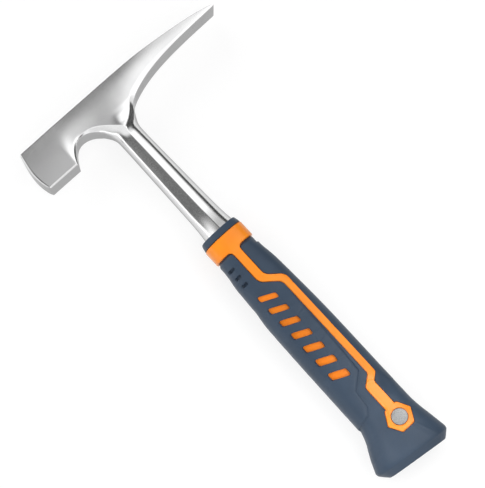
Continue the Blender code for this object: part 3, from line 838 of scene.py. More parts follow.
@dataclass(frozen=True)
class TrimLine:
    """Outline of the collar, the rail with its two jogs, and the hexagon round the rivet."""

    lane_top: Spot = (-0.8, 5.3)
    lane_side: Spot = (9.1, 4.1)
    lane_stub: Spot = (RIVET_SPOT[0], 6.3)
    jog_top: float = 128.2
    jog_low: float = 49.6
    jog_slope: float = 38.0
    upper_corner: float = 6.0
    lower_corner: float = 2.6
    collar_corner: float = 3.4
    hex_radius: float = 8.7
    hex_corner: float = 0.12
    far: float = 60.0

    def hexagon_corner(self, turn: int) -> Spot:
        """A corner of the hexagon, counted anticlockwise from the one nearest the blade."""
        angle = turn * pi / 3.0
        return RIVET_SPOT[0] + self.hex_radius * cos(angle), RIVET_SPOT[1] + self.hex_radius * sin(angle)

    def outline(self, form: GripForm) -> list[Vector]:
        """The outline, anticlockwise from the poll's end of the collar.

        Args:
            form: the grip, which gives the collar's place.

        Returns:
            The points in hammer millimetres; the first and last two lie beyond the sides of the grip.
        """
        slope = tan(radians(self.jog_slope))
        (top_l, top_r), (side_l, side_r), (stub_l, stub_r) = (
            (middle - width / 2.0, middle + width / 2.0)
            for middle, width in (self.lane_top, self.lane_side, self.lane_stub))
        upper = (top_r + side_l) / 2.0
        lower = (stub_r + side_l) / 2.0
        rise = 0.5 * self.lane_side[1] / cos(radians(self.jog_slope))
        flat = self.hexagon_corner(1)[1]
        low, high, corner = form.collar_low, form.collar_top, self.collar_corner
        soft, tight = self.upper_corner, self.lower_corner

        def upper_jog(x: float, side: int) -> float:
            """Height of the upper jog's edge."""
            return self.jog_top + slope * (upper - x) + side * rise

        def lower_jog(x: float, side: int) -> float:
            """Height of the lower jog's edge."""
            return self.jog_low - slope * (lower - x) + side * rise

        left = [(-self.far, high, 0.0), (-self.far, low, 0.0), (top_l, low, corner),
                (top_l, upper_jog(top_l, -1), soft), (side_l, upper_jog(side_l, -1), soft),
                (side_l, lower_jog(side_l, 1), tight), (stub_l, lower_jog(stub_l, 1), tight),
                (stub_l, flat, 0.0)]
        boss = [(*self.hexagon_corner(turn), self.hex_corner * self.hex_radius) for turn in range(2, 8)]
        right = [(stub_r, flat, 0.0),
                 (stub_r, lower_jog(stub_r, -1), tight), (side_r, lower_jog(side_r, -1), tight),
                 (side_r, upper_jog(side_r, 1), soft), (top_r, upper_jog(top_r, 1), soft), (top_r, low, corner),
                 (self.far, low, 0.0), (self.far, high, 0.0)]
        return rounded(left + boss + right)


@dataclass
class WrappedSheet:
    """A sheet that is drawn flat on the grip, given thickness and soft edges, and then wrapped round it."""

    form: GripForm
    low: float
    high: float
    margin: float = 3.0
    side: float = 30.0
    bm: BMesh = field(default_factory=bmesh.new)

    def spots(self, outline: Sequence[Vector], longest: float = 2.5) -> list[Point]:
        """Carry an outline into the flat drawing.

        Args:
            outline: points in hammer millimetres.
            longest: longest side that is kept whole.

        Returns:
            Points of the flat drawing; those beyond the grip's sides go just past the seams.
        """
        beyond = self.form.seam + self.margin
        points = []
        for point in divided(outline, longest):
            q, t = self.form.flat(point.x, point.y)
            if abs(point.x) > self.side:
                q, t = copysign(beyond, point.x), point.y
            if not points or (Vector((q, t, self.low)) - Vector(points[-1])).length > TINY:
                points.append((q, t, self.low))
        return points

    def fill(self, loops: Sequence[Sequence[Point]], pockets: Sequence[Sequence[Point]] = (),
             depth: float = 0.0) -> None:
        """Fill the drawing between its loops, give it thickness and press its pockets in.

        Args:
            loops: the outer loop and the loops of the holes.
            pockets: loops of blind pockets in the outer surface.
            depth: depth of the pockets.
        """
        bm = self.bm
        bm.edges.layers.int.new("kept")
        layer = bm.faces.layers.int.new("pocket")
        for loop in loops:
            ring_edges(bm, loop)
        wells = [ring_edges(bm, loop) for loop in pockets]
        bmesh.ops.triangle_fill(bm, edges=bm.edges[:], use_beauty=True, normal=UP)
        for well in wells:
            for item in bmesh.ops.triangle_fill(bm, edges=well, use_beauty=True, normal=UP)["geom"]:
                if isinstance(item, BMFace):
                    item[layer] = 1
        self.push(bm.faces[:], self.high - self.low)
        face_out(bm)
        if wells:
            lids = [face for face in self.top_faces() if face[layer]]
            self.push(lids, -depth)
            bmesh.ops.delete(bm, geom=lids, context="FACES")
            face_out(bm)

    def push(self, faces: list[BMFace], height: float) -> None:
        """Extrude faces of the flat drawing.

        Args:
            faces: the faces.
            height: how far they go up.
        """
        raised = bmesh.ops.extrude_face_region(self.bm, geom=faces)["geom"]
        verts = [item for item in raised if isinstance(item, BMVert)]
        bmesh.ops.translate(self.bm, vec=(0.0, 0.0, height), verts=verts)

    def top_faces(self) -> list[BMFace]:
        """The faces of the outer surface."""
        return [face for face in self.bm.faces if all(vert.co.z > self.high - CUT_SLACK for vert in face.verts)]

    def soften(self, radius: float, steps: Sequence[float] = (0.12, 0.4, 1.0)) -> None:
        """Round the outer edges of the sheet.

        Args:
            radius: radius of the edge.
            steps: shares of the radius at which the round has a row of points.
        """
        top = self.top_faces()
        row = {vert for face in top for vert in face.verts if any(f.normal.z < 0.5 for f in vert.link_faces)}
        rows = [(0.0, row)]
        for share in steps:
            done, before = rows[-1]
            made = bmesh.ops.inset_region(self.bm, faces=top, thickness=(share - done) * radius,
                                          use_boundary=True, use_even_offset=True)["faces"]
            rows.append((share, {vert for face in made for vert in face.verts} - before))
        for share, row in rows:
            drop = radius * (1.0 - sqrt(max(0.0, 1.0 - (1.0 - share) ** 2)))
            bmesh.ops.translate(self.bm, vec=(0.0, 0.0, -drop), verts=list(row))

    def keep(self, cut: dict[str, list]) -> None:
        """Mark the edges of a cut, so that they aren't cleaned away.

        Args:
            cut: what the cut returned.
        """
        layer = self.bm.edges.layers.int["kept"]
        for item in cut["geom_cut"]:
            if isinstance(item, BMEdge):
                item[layer] = 1

    def cut(self, lines: Lines, place: float, **clear: bool) -> dict[str, list]:
        """Cut the whole sheet along one straight line.

        Args:
            lines: the way the line runs.
            place: where it lies.
            clear: clear_outer or clear_inner, to drop the higher or the lower side.

        Returns:
            What was cut.
        """
        normal = Vector(lines.value)
        return bmesh.ops.bisect_plane(self.bm, geom=whole(self.bm), dist=CUT_SLACK, plane_co=normal * place,
                                      plane_no=normal, **clear)

    def slice(self, lines: Lines, places: Iterable[float]) -> None:
        """Cut the sheet along straight lines so that it can bend there."""
        for place in places:
            self.keep(self.cut(lines, place))

    def score(self, start: Vector, end: Vector, reach: float = 2.5, past: float = 1.0) -> None:
        """Cut the outer surface along one short line only.

        Args:
            start: start of the line in the flat drawing.
            end: its end.
            reach: how far from the line whole faces are looked at.
            past: how far past its ends they are looked at.
        """
        along = (end - start).normalized()
        aside = Vector((-along.y, along.x))
        faces = []
        for face in self.bm.faces:
            middle = face.calc_center_median()
            offset = middle.to_2d() - start
            beside = abs(offset.dot(aside)) < reach and middle.z > 0.5 * (self.low + self.high)
            if beside and -past < offset.dot(along) < (end - start).length + past:
                faces.append(face)
        edges = {edge for face in faces for edge in face.edges}
        verts = {vert for face in faces for vert in face.verts}
        self.keep(bmesh.ops.bisect_plane(self.bm, geom=[*verts, *edges, *faces], dist=CUT_SLACK,
                                         plane_co=start.to_3d(), plane_no=aside.to_3d()))

    def clean(self, level: float = 0.99999) -> None:
        """Take out the diagonals that the filling left inside the flat faces.

        Args:
            level: cosine of the angle up to which two faces count as one.
        """
        layer = self.bm.edges.layers.int["kept"]
        self.bm.normal_update()
        spare = [edge for edge in self.bm.edges if not edge[layer] and len(edge.link_faces) == 2
                 and edge.link_faces[0].normal.dot(edge.link_faces[1].normal) > level]
        bmesh.ops.dissolve_edges(self.bm, edges=spare, use_verts=True)

    def wrap(self, relief: Relief | None = None) -> BMesh:
        """Wrap the sheet round the grip, and mirror it to the far side.

        Args:
            relief: extra height of the outer surface at a place (q, t) of the drawing.

        Returns:
            The finished shape in hammer millimetres.
        """
        seam = self.form.seam
        self.cut(Lines.LENGTHWISE, seam, clear_outer=True)
        self.cut(Lines.LENGTHWISE, -seam, clear_inner=True)
        bm = self.bm
        layer = bm.verts.layers.float_vector.new(SOFT_NORMAL)
        for vert in bm.verts:
            q, t, w = vert.co
            if w > self.high - TINY:
                vert[layer] = self.shading(q, t, relief)
            if relief and w > 0.5 * (self.low + self.high):
                w += relief(q, t)
            vert.co = self.form.wrapped(q, t, w)
            if abs(abs(q) - seam) < TINY:
                vert.co.z = 0.0
                vert[layer] = (vert[layer].x, vert[layer].y, 0.0)
        bmesh.ops.mirror(bm, geom=whole(bm), axis="Z", merge_dist=0.002)
        for vert in bm.verts:
            if vert.co.z < -TINY:
                vert[layer] = (vert[layer].x, vert[layer].y, -vert[layer].z)
        open_edges = [edge for edge in bm.edges if len(edge.link_faces) == 1]
        if open_edges:
            bmesh.ops.holes_fill(bm, edges=open_edges, sides=0)
        face_out(bm)
        return bm

    def shading(self, q: float, t: float, relief: Relief | None, step: float = 0.05) -> Vector:
        """The true outward direction of the outer surface with its relief.

        Args:
            q: place round the grip in the flat drawing.
            t: place along it.
            relief: extra height of the outer surface.
            step: how far to each side the relief is read.

        Returns:
            The direction.
        """
        round_it, along = self.form.tangents(q, t)
        if relief:
            up = round_it.cross(along).normalized()
            round_it += up * ((relief(q + step, t) - relief(q - step, t)) / (2.0 * step))
            along += up * ((relief(q, t + step) - relief(q, t - step)) / (2.0 * step))
        return round_it.cross(along).normalized()


@dataclass(kw_only=True)
class GripSkin(SubAssembly):
    """The soft overmould, with its windows, slots and stepped palm panel."""

    node: str = "grip_skin"
    slot: Slot = Slot.RUBBER
    form: GripForm
    line: TrimLine
    thickness: float = 2.2
    gap: float = 0.3
    lip: float = 0.35
    window_count: int = 7
    window_top: float = 122.0
    window_low: float = 62.75
    window_spread: float = 0.034
    window_x: float = -5.6
    window_width: float = 10.4
    window_heights: Spot = (3.7, 5.0)
    window_slant: float = 25.5
    window_corner: float = 1.5
    panel_rise: float = 0.9
    panel_fade: Spot = (122.0, -12.0)
    panel_line: tuple[Spot, ...] = ((6.6, 122.0), (5.9, 100.0), (5.2, 75.0), (4.1, 57.0), (-5.2, 49.3),
                                    (-6.3, 38.4), (-9.2, 34.7), (-16.4, 32.6))
    panel_step: tuple[Spot, ...] = ((-1.0, 0.0), (-0.6, -0.06), (-0.3, 0.0), (0.0, 0.45), (0.3, 0.7),
                                    (0.7, 0.86), (1.1, 1.0))
    lip_fall: float = 1.0
    lip_width: float = 2.0
    finger_step_y: float = 150.3
    finger_step_half: float = 0.25
    finger_fade: Spot = (10.0, 8.0)
    finger_share: float = 0.75
    hollow_spot: Spot = (11.0, 41.0)
    hollow_size: Spot = (5.5, 8.8)
    hollow_depth: float = 0.9
    slot_count: int = 3
    slot_top: float = 147.2
    slot_pitch: float = 5.55
    slot_x: float = -10.5
    slot_size: Spot = (3.9, 1.9)
    slot_depth: float = 1.6
    slot_corner: float = 0.9
    foot_inset: float = 1.5
    base_spare: float = 6.0
    path: list[Vector] = field(default_factory=list)

    def window(self, index: int) -> list[Vector]:
        """Outline of one slanted window.

        Args:
            index: its number, from the top.

        Returns:
            The points, anticlockwise.
        """
        last = self.window_count - 1
        first_height, last_height = self.window_heights
        height = first_height + (last_height - first_height) * index / last

        def steps(count: int) -> float:
            """Steps down to a window, each a little longer than the one above."""
            return count + self.window_spread * count * (count - 1) / 2.0

        middle = self.window_top + (self.window_low - self.window_top) * steps(index) / steps(last)
        half = self.window_width / 2.0
        fall = tan(radians(self.window_slant)) * half
        corners = ((-half, fall - height / 2.0), (half, -fall - height / 2.0), (half, height / 2.0 - fall),
                   (-half, fall + height / 2.0))
        return rounded([(self.window_x + dx, middle + dy, self.window_corner) for dx, dy in corners])

    def short_slot(self, index: int) -> list[Vector]:
        """Outline of one short slot with round ends.

        Args:
            index: its number, from the top.

        Returns:
            The points, anticlockwise.
        """
        long, tall = self.slot_size[0] / 2.0, self.slot_size[1] / 2.0
        y = self.slot_top - index * self.slot_pitch
        corners = ((-long, -tall), (long, -tall), (long, tall), (-long, tall))
        return rounded([(self.slot_x + dx, y + dy, self.slot_corner * tall) for dx, dy in corners])

    def outer(self) -> list[Vector]:
        """Outline of the skin on the near face.

        Returns:
            The points: the butt below, and the trim's edge with its gap above.
        """
        trim = grown(self.line.outline(self.form), self.gap)
        low = self.form.butt_y - self.form.base_runs[-1] - self.base_spare
        return [Vector((-self.line.far, low)), Vector((self.line.far, low)), *reversed(trim[1:-1])]

    def panel_height(self, q: float, t: float) -> float:
        """Height of the palm panel over the rest of the skin.

        Args:
            q: place round the grip in the flat drawing.
            t: place along it.

        Returns:
            The height, which fades out towards the collar.
        """
        here = Vector((q, t))
        nearest = None
        for start, end in zip(self.path, self.path[1:]):
            along = end - start
            share = min(1.0, max(0.0, (here - start).dot(along) / along.length_squared))
            gap = here - (start + along * share)
            if nearest is None or gap.length < abs(nearest) - 1e-6:
                side = along.x * gap.y - along.y * gap.x
                nearest = -gap.length if side > 0.0 else gap.length
        return fade(t, self.panel_fade) * self.panel_rise * smooth_through(nearest, self.panel_step)

    def relief(self, q: float, t: float) -> float:
        """Height of all soft relief.

        Args:
            q: place round the grip in the flat drawing.
            t: place along it.

        Returns:
            The height, below 0 in hollows.
        """
        edge = self.form.collar_low - self.gap
        fall = -self.lip_fall * ease(1.0 - (edge - t) / self.lip_width)
        if q > 0.0:
            step = ease((t - self.finger_step_y) / (2.0 * self.finger_step_half) + 0.5)
            fall = min(fall, -self.finger_share * self.lip_fall * fade(q, self.finger_fade) * step)
        q0, t0 = self.form.flat(*self.hollow_spot)
        wide, tall = self.hollow_size
        dip = self.hollow_depth * ease(1.0 - sqrt(((q - q0) / wide) ** 2 + ((t - t0) / tall) ** 2))
        return fall - dip + self.panel_height(q, t)

    def build(self) -> bpy.types.Object:
        """Make the skin.

        Returns:
            The object.
        """
        form = self.form
        self.path = [Vector(form.flat(x, y)) for x, y in self.panel_line]
        sheet = WrappedSheet(form, -self.thickness, 0.0)
        windows = [sheet.spots(self.window(index), FINE_STEP) for index in range(self.window_count)]
        slots = [sheet.spots(self.short_slot(index), FINE_STEP) for index in range(self.slot_count)]
        sheet.fill([sheet.spots(self.outer()), *windows], slots, self.slot_depth)
        sheet.soften(self.lip)
        low, high = self.finger_step_y - self.finger_step_half, self.finger_step_y + self.finger_step_half
        edge = form.collar_low - self.gap
        sheet.slice(Lines.LENGTHWISE, spread_evenly(-form.seam, form.seam, ROUND_STEP))
        for places in ((form.butt_y - run for run in form.base_runs[:-1]),
                       (form.kink_y, *spread_evenly(form.butt_y, form.kink_y, ALONG_STEP)),
                       spread_evenly(form.kink_y, low, ALONG_STEP), (low, high),
                       (edge - self.lip_width * share for share in (1.0, 0.75, 0.5, 0.25))):
            sheet.slice(Lines.CROSSWISE, places)
        for start, end in zip(self.path, self.path[1:]):
            aside = Vector((start.y - end.y, end.x - start.x)).normalized()
            for place, _ in reversed(self.panel_step):
                sheet.score(start - aside * place, end - aside * place)
        sheet.cut(Lines.CROSSWISE, form.butt_y - form.base_runs[-1], clear_inner=True)
        sheet.clean()
        bm = sheet.wrap(self.relief)
        foot = max((face for face in bm.faces if face.normal.y < -0.9), key=lambda face: face.calc_area())
        bmesh.ops.inset_region(bm, faces=[foot], thickness=self.foot_inset, use_even_offset=True)
        for vert in foot.verts:
            vert[bm.verts.layers.float_vector[SOFT_NORMAL]] = foot.normal
        return self.make("soft_grip_skin", bm)


@dataclass(kw_only=True)
class GripCore(SubAssembly):
    """The bright moulding: collar, rail and hexagon, and the core that shows in the windows."""

    node: str = "grip_core"
    slot: Slot = Slot.PLASTIC
    form: GripForm
    line: TrimLine
    proud: float = 0.3
    lip: float = 0.55
    depth: float = 2.6
    floor: float = 1.05
    slot_room: float = 1.0
    slot_fade: Spot = (127.0, 4.0)
    core_span: Spot = (8.0, 160.0)
    core_step: float = 2.5
    hole_radius: float = 4.95
    hole_sides: int = 48

    def build_trim(self) -> bpy.types.Object:
        """Make the collar, rail and hexagon.

        Returns:
            The object.
        """
        form, radius = self.form, self.hole_radius
        sheet = WrappedSheet(form, -self.depth, self.proud)
        angles = [2.0 * pi * index / self.hole_sides for index in range(self.hole_sides)]
        hole = [Vector((RIVET_SPOT[0] + radius * cos(angle), RIVET_SPOT[1] + radius * sin(angle)))
                for angle in angles]
        sheet.fill([sheet.spots(self.line.outline(form)), sheet.spots(hole, FINE_STEP)])
        sheet.soften(self.lip)
        sheet.slice(Lines.LENGTHWISE, spread_evenly(-form.seam, form.seam, ROUND_STEP))
        sheet.slice(Lines.CROSSWISE, spread_evenly(form.butt_y, form.collar_top, ALONG_STEP))
        sheet.clean()
        return self.make("bright_grip_trim", sheet.wrap())

    def build_core(self) -> bpy.types.Object:
        """Make the core under the skin, which shows in the windows.

        Returns:
            The object.
        """
        low, high = self.core_span
        heights = [low, *spread_evenly(low, high, self.core_step), high]
        rows = [self.form.loop(t, self.floor + self.slot_room * fade(t, self.slot_fade)) for t in heights]
        return self.make("bright_grip_core", lofted(rows, False))


@dataclass(kw_only=True)
class FrontRing(SubAssembly):
    """The soft ring that closes the front of the grip round the shaft."""

    node: str = "front_ring"
    slot: Slot = Slot.RUBBER
    form: GripForm
    gap: float = 0.3
    length: float = 4.4
    taper: float = 0.9
    sides: int = 128
    outside: tuple[Spot, ...] = ((0.0, 0.3), (0.03, 0.12), (0.08, 0.02), (0.15, 0.0), (0.5, -0.02), (0.88, 0.0),
                                 (0.94, 0.05), (0.98, 0.14), (1.0, 0.3))
    mouth: tuple[Spot, ...] = ((0.0, 0.45), (0.15, 0.33), (0.5, 0.3))

    def build(self, section: Sequence[Vector]) -> bpy.types.Object:
        """Make the ring.

        Args:
            section: points (x, z) of the shaft's section at the ring.

        Returns:
            The object.
        """
        top = self.form.collar_top
        low, high = top + self.gap, top + self.length
        shaft = sorted((atan2(point.y, point.x), point.length) for point in section)
        (first, first_radius), (last, last_radius) = shaft[0], shaft[-1]
        shaft = [(last - 2.0 * pi, last_radius), *shaft, (first + 2.0 * pi, first_radius)]
        angles = [atan2(spot.z, spot.x) for spot in self.form.loop(top, 0.0, self.sides)]

        def radius_at(angle: float) -> float:
            """Radius of the shaft in one direction."""
            (a, near), (b, far) = [pair for pair in zip(shaft, shaft[1:])
                                   if pair[0][0] <= angle <= pair[1][0]][-1]
            return near + (far - near) * ((angle - a) / max(b - a, 1e-9))

        def inner(level: float, margin: float) -> list[Vector]:
            """The hole round the shaft."""
            radii = [radius_at(angle) + margin for angle in angles]
            return [Vector((r * cos(angle), level, r * sin(angle))) for r, angle in zip(radii, angles)]

        def outer(share: float, inset: float) -> list[Vector]:
            """The outside, which tapers towards the head."""
            return self.form.loop(top, inset + self.taper * share, self.sides, low + (high - low) * share)

        rows = [inner(low, self.gap), *(outer(share, inset) for share, inset in self.outside),
                *(inner(high - drop, margin) for drop, margin in self.mouth)]
        return self.make("soft_front_ring", lofted(rows, True))


@dataclass(kw_only=True)
class Rivet(SubAssembly):
    """One head of the rivet that holds the grip on the tang."""

    slot: Slot = Slot.RIVET
    side: Side
    radius: float = 4.75
    thickness: float = 2.2
    dome: float = 0.12
    edge: float = 0.35
    steps: int = 72

    def build(self) -> bpy.types.Object:
        """Turn the head about its axis.

        Returns:
            The object.
        """
        low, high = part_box(self.node)
        top = high.z if self.side is Side.NEAR else low.z
        level = abs(top / MM - self.place.shift.z)
        profile = [(0.0, level + self.dome), (0.5 * self.radius, level + 0.75 * self.dome),
                   (self.radius - self.edge, level)]
        profile += [(self.radius - self.edge * (1.0 - sin(turn)), level - self.edge * (1.0 - cos(turn)))
                    for turn in (radians(30.0), radians(60.0), radians(90.0))]
        profile += [(self.radius, level - self.thickness), (0.0, level - self.thickness)]
        bm = bmesh.new()
        verts = row_of(bm, [(radius, 0.0, height) for radius, height in profile])
        edges = [bm.edges.new(pair) for pair in zip(verts, verts[1:])]
        bmesh.ops.spin(bm, geom=verts + edges, cent=(0.0, 0.0, 0.0), axis=UP, angle=2.0 * pi, steps=self.steps,
                       use_merge=True, use_duplicate=False)
        bmesh.ops.remove_doubles(bm, verts=bm.verts, dist=TINY)
        if self.side is Side.FAR:
            bmesh.ops.rotate(bm, verts=bm.verts, matrix=Matrix.Rotation(pi, 3, "X"))
        bmesh.ops.translate(bm, vec=(*RIVET_SPOT, 0.0), verts=bm.verts)
        face_out(bm)
        return self.make(f"{self.side.value}_rivet_head", bm)


# Finishes


@dataclass(frozen=True)
class Finish:
    """A surface with a fine grain, and clouds of a second tone.

    Grain and clouds are each the patterns per metre, the detail and the roughness of a noise.
    """

    name: str
    colour: Point
    shade: Point
    roughness: Spot
    grain: Point
    bump: Spot
    clouds: Point = (60.0, 2.0, 0.5)
    grain_share: float = 0.0
    tone_span: Spot = (0.3, 0.7)
    rough_span: Spot = (0.3, 0.7)
    stretch: Point = (1.0, 1.0, 1.0)
    metallic: float = 0.0
    specular: float = 0.5
    edge: float = 1.0
    coat: float = 0.0
    coat_roughness: float = 0.3

    def material(self) -> bpy.types.Material:
        """Make the material.

        Returns:
            The material, on Object coordinates.
        """
        finish = bpy.data.materials.new(self.name)
        finish.use_nodes = True
        bench = NodeBench(finish.node_tree)
        shader = finish.node_tree.nodes["Principled BSDF"]
        coords = bench.add("TexCoord").outputs["Object"]
        drawn = bench.add("Mapping", {"Vector": coords, "Scale": self.stretch}).outputs[0]
        grain = bench.noise(drawn, *self.grain)
        clouds = bench.math("MULTIPLY", bench.noise(coords, *self.clouds), 1.0 - self.grain_share)
        both = bench.math("ADD", clouds, bench.math("MULTIPLY", grain, self.grain_share))
        strength, distance = self.bump
        feeds = {
            "Base Color": bench.blend(bench.step(both, *self.tone_span), self.shade, self.colour),
            "Roughness": bench.step(grain, *self.rough_span, *self.roughness),
            "Normal": bench.add("Bump", {"Strength": strength, "Distance": distance,
                                         "Height": grain}).outputs[0],
            "Metallic": self.metallic,
            "Specular IOR Level": self.specular,
            "Specular Tint": (self.edge, self.edge, self.edge, 1.0),
            "Coat Weight": self.coat,
            "Coat Roughness": self.coat_roughness,
        }
        for name, feed in feeds.items():
            bench.plug(feed, shader.inputs[name])
        return finish


@dataclass(frozen=True)
class PolishedSteel(Finish):
    """Drop-forged steel, ground and polished to a soft mirror."""

    name: str = "polished steel"
    colour: Point = (0.78, 0.78, 0.78)
    shade: Point = (0.72, 0.72, 0.725)
    roughness: Spot = (0.16, 0.22)
    grain: Point = (2600.0, 3.0, 0.6)
    bump: Spot = (0.025, 0.0002)
    clouds: Point = (90.0, 3.0, 0.5)
    grain_share: float = 0.4
    stretch: Point = (0.25, 1.0, 1.0)
    metallic: float = 1.0
    edge: float = 0.45


@dataclass(frozen=True)
class SoftRubber(Finish):
    """Fine matt overmould rubber."""

    name: str = "slate rubber"
    colour: Point = (0.035, 0.058, 0.094)
    shade: Point = (0.029, 0.049, 0.08)
    roughness: Spot = (0.44, 0.55)
    grain: Point = (3200.0, 2.0, 0.5)
    bump: Spot = (0.12, 0.0001)
    specular: float = 0.36


@dataclass(frozen=True)
class SatinPlastic(Finish):
    """Bright moulded plastic with a satin skin."""

    name: str = "orange plastic"
    colour: Point = (0.98, 0.29, 0.01)
    shade: Point = (0.95, 0.26, 0.008)
    roughness: Spot = (0.36, 0.46)
    grain: Point = (2400.0, 2.0, 0.5)
    bump: Spot = (0.08, 0.0001)
    clouds: Point = (70.0, 2.0, 0.5)
    specular: float = 0.2
    coat: float = 0.5


@dataclass(frozen=True)
class ShadedPlastic(SatinPlastic):
    """The same plastic down in the windows, with less of a skin, and its colour painted a deeper, redder orange
    as shade for the recesses.
    """

    name: str = "orange plastic with painted shade"
    # painted shade: a deeper, redder orange than the trim's, standing in for the shade down in the windows
    colour: Point = (1.0, 0.26, 0.016)
    shade: Point = (0.97, 0.235, 0.013)
    coat: float = 0.1


@dataclass(frozen=True)
class RivetSteel(Finish):
    """Satin steel with the fine pits of a pressed rivet head."""

    name: str = "rivet steel"
    colour: Point = (0.36, 0.36, 0.355)
    shade: Point = (0.24, 0.24, 0.24)
    roughness: Spot = (0.44, 0.58)
    grain: Point = (1700.0, 3.0, 0.6)
    bump: Spot = (0.2, 0.0001)
    grain_share: float = 1.0
    tone_span: Spot = (0.35, 0.65)
    metallic: float = 1.0


# The studio


class Band(NamedTuple):
    """A step of brightness along one direction of the surroundings."""

    axis: Point
    low: float
    high: float
    start: float = 0.0
    end: float = 1.0


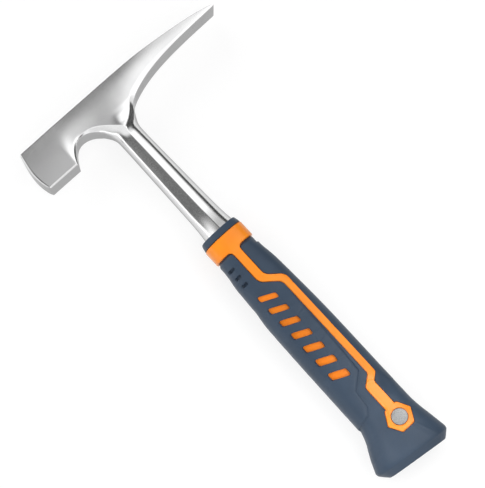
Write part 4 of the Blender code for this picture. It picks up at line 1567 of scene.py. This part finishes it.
@dataclass
class Studio:
    """Pale floor, soft light all round, and the camera."""

    place: Placement
    camera_spot: Point = (-120.0, 42.4, 1136.4)
    right: Point = (0.7381, -0.6745, 0.0146)
    up: Point = (0.6657, 0.7317, 0.1464)
    lens_pixels: float = 2000.0
    picture_height: float = 488.0
    sensor: float = 36.0
    clip: Spot = (0.05, 50.0)
    floor_size: float = 3.0
    floor_parts: int = 8
    floor_tone: float = 0.28
    floor_glow: float = 0.75
    lamps: tuple[Sequence[float], ...] = ((62.0, 36.0, 165.0, 0.08, 0.076), (-36.0, 23.0, 72.0, 0.03, 0.012))
    lights: tuple[tuple[Band, ...], ...] = (
        (Band((0.8, -1.0, 0.0), -0.3, 0.3, 0.2, 1.52), Band(ALONG, 0.13, 0.4, 1.0, 0.35),
         Band((0.5, -1.0, 0.0), 0.4, 0.8, 1.0, 0.65), Band(ACROSS, -0.6, -0.2, 0.6, 1.0)),
        (Band((-0.45, -0.5, 0.74), 0.84, 0.95, 0.0, 1.15),),
        (Band((-0.15, 0.88, 0.45), 0.8, 0.95, 0.0, 2.2),),
        (Band(UP, 0.12, 0.42, 1.3, 0.0), Band(ACROSS, -0.8, -0.2, 1.6, 1.0)),
        (Band(ALONG, 0.14, 0.34, 0.0, 1.55), Band(ACROSS, -0.8, -0.1, 1.0, 0.0)),
    )
    flag: tuple[Band, ...] = (Band(UP, 0.36, 0.56, 1.0, 0.0), Band(ACROSS, 0.5, 0.75))
    flag_depth: float = 0.95

    def camera(self) -> None:
        """Set the camera up at the photograph's viewing angle."""
        data = bpy.data.cameras.new("camera")
        data.sensor_fit = "VERTICAL"
        data.sensor_height = self.sensor
        data.lens = self.lens_pixels * data.sensor_height / self.picture_height
        data.clip_start, data.clip_end = self.clip
        camera = bpy.data.objects.new("camera", data)
        bpy.context.collection.objects.link(camera)
        right = Vector(self.right).normalized()
        up = Vector(self.up)
        up = (up - right * up.dot(right)).normalized()
        turn = Matrix((right, up, right.cross(up))).transposed()
        camera.matrix_world = Matrix.Translation(self.place.matrix() @ Vector(self.camera_spot)) @ turn.to_4x4()
        bpy.context.scene.camera = camera

    def floor(self) -> None:
        """Lay a pale floor that keeps the hammer's shadow."""
        bm = bmesh.new()
        bmesh.ops.create_grid(bm, x_segments=self.floor_parts, y_segments=self.floor_parts,
                              size=self.floor_size)
        mesh = bpy.data.meshes.new("floor")
        bm.to_mesh(mesh)
        bm.free()
        floor = bpy.data.objects.new("floor", mesh)
        bpy.context.collection.objects.link(floor)
        finish = bpy.data.materials.new("pale floor")
        finish.use_nodes = True
        finish.node_tree.nodes.clear()
        bench = NodeBench(finish.node_tree)
        path = bench.add("LightPath").outputs
        seen = bench.math("MAXIMUM", path["Is Camera Ray"], path["Is Glossy Ray"])
        seen = bench.math("MAXIMUM", seen, path["Is Transmission Ray"])
        matt = bench.add("BsdfDiffuse", {"Color": (self.floor_tone, self.floor_tone, self.floor_tone, 1.0)})
        strength = bench.math("MULTIPLY", seen, self.floor_glow)
        glow = bench.add("Emission", {"Color": WHITE, "Strength": strength})
        both = bench.add("AddShader", {0: matt.outputs[0], 1: glow.outputs[0]})
        bench.add("OutputMaterial", {"Surface": both.outputs[0]})
        mesh.materials.append(finish)

    def light(self) -> None:
        """Surround the hammer with large soft lights, less what a dark flag hides."""
        world = bpy.data.worlds.new("studio")
        bpy.context.scene.world = world
        world.use_nodes = True
        world.node_tree.nodes.clear()
        bench = NodeBench(world.node_tree)
        way = bench.add("TexCoord").outputs["Generated"]

        def product(bands: Sequence[Band]) -> Socket:
            """Multiply the bands of one light."""
            steps = [bench.step(bench.dot(way, band.axis), *band[1:]) for band in bands]
            return reduce(lambda first, second: bench.math("MULTIPLY", first, second), steps)

        lit = reduce(lambda first, second: bench.math("MAXIMUM", first, second), map(product, self.lights))
        flag = bench.math("MULTIPLY", product(self.flag), self.flag_depth)
        lit = bench.math("MULTIPLY", lit, bench.math("SUBTRACT", 1.0, flag))
        seen = bench.add("LightPath").outputs["Is Camera Ray"]
        strength = bench.add("Mix", {"Factor": seen, "A": lit, "B": 1.0}, data_type="FLOAT").outputs[0]
        glow = bench.add("Background", {"Color": WHITE, "Strength": strength})
        bench.add("OutputWorld", {"Surface": glow.outputs[0]})
        bpy.context.scene.view_settings.view_transform = "Standard"

    def lamp(self, x: float, y: float, z: float, size: float, power: float) -> None:
        """Hang a small soft lamp over the butt.

        Args:
            x: its place across the hammer.
            y: its place along the hammer.
            z: its height over the middle plane.
            size: side of the lamp in metres.
            power: its power in watts.
        """
        data = bpy.data.lights.new("lamp", "AREA")
        data.shape = "SQUARE"
        data.size = size
        data.energy = power
        lamp = bpy.data.objects.new("lamp", data)
        bpy.context.collection.objects.link(lamp)
        turn = Vector((x, y, z)).to_track_quat("Z", "Y").to_matrix().to_4x4()
        lamp.matrix_world = Matrix.Translation(self.place.matrix() @ Vector((x, y, z))) @ turn
        lamp.visible_camera = False

    def build(self) -> None:
        """Set the whole studio up."""
        self.camera()
        self.floor()
        self.light()
        for lamp in self.lamps:
            self.lamp(*lamp)


def main() -> None:
    """Build the hammer and its studio, and note the sizes."""
    logging.basicConfig(level=logging.INFO, format="%(name)s %(message)s")
    place = Placement.of_rivet(*RIVET_SPOT)
    form = GripForm()
    line = TrimLine()
    rubber = SoftRubber().material()
    rivet_steel = RivetSteel().material()

    forging = Forging(place=place)
    body = forging.build()
    forging.dress(body, PolishedSteel().material())
    ring = FrontRing(place=place, form=form)
    ring.dress(ring.build(forging.section(body, form.collar_top + 3.0)), rubber)
    core = GripCore(place=place, form=form, line=line)
    core.dress(core.build_trim(), SatinPlastic().material())
    # the core shows only in the windows, in the orange with painted shade for those recesses
    core.dress(core.build_core(), ShadedPlastic().material())
    skin = GripSkin(place=place, form=form, line=line)
    skin.dress(skin.build(), rubber)
    for side, node in ((Side.NEAR, "rivet_stud"), (Side.FAR, "rivet_cap")):
        rivet = Rivet(place=place, node=node, side=side)
        rivet.dress(rivet.build(), rivet_steel)
    Studio(place).build()


if __name__ == "__main__":
    main()
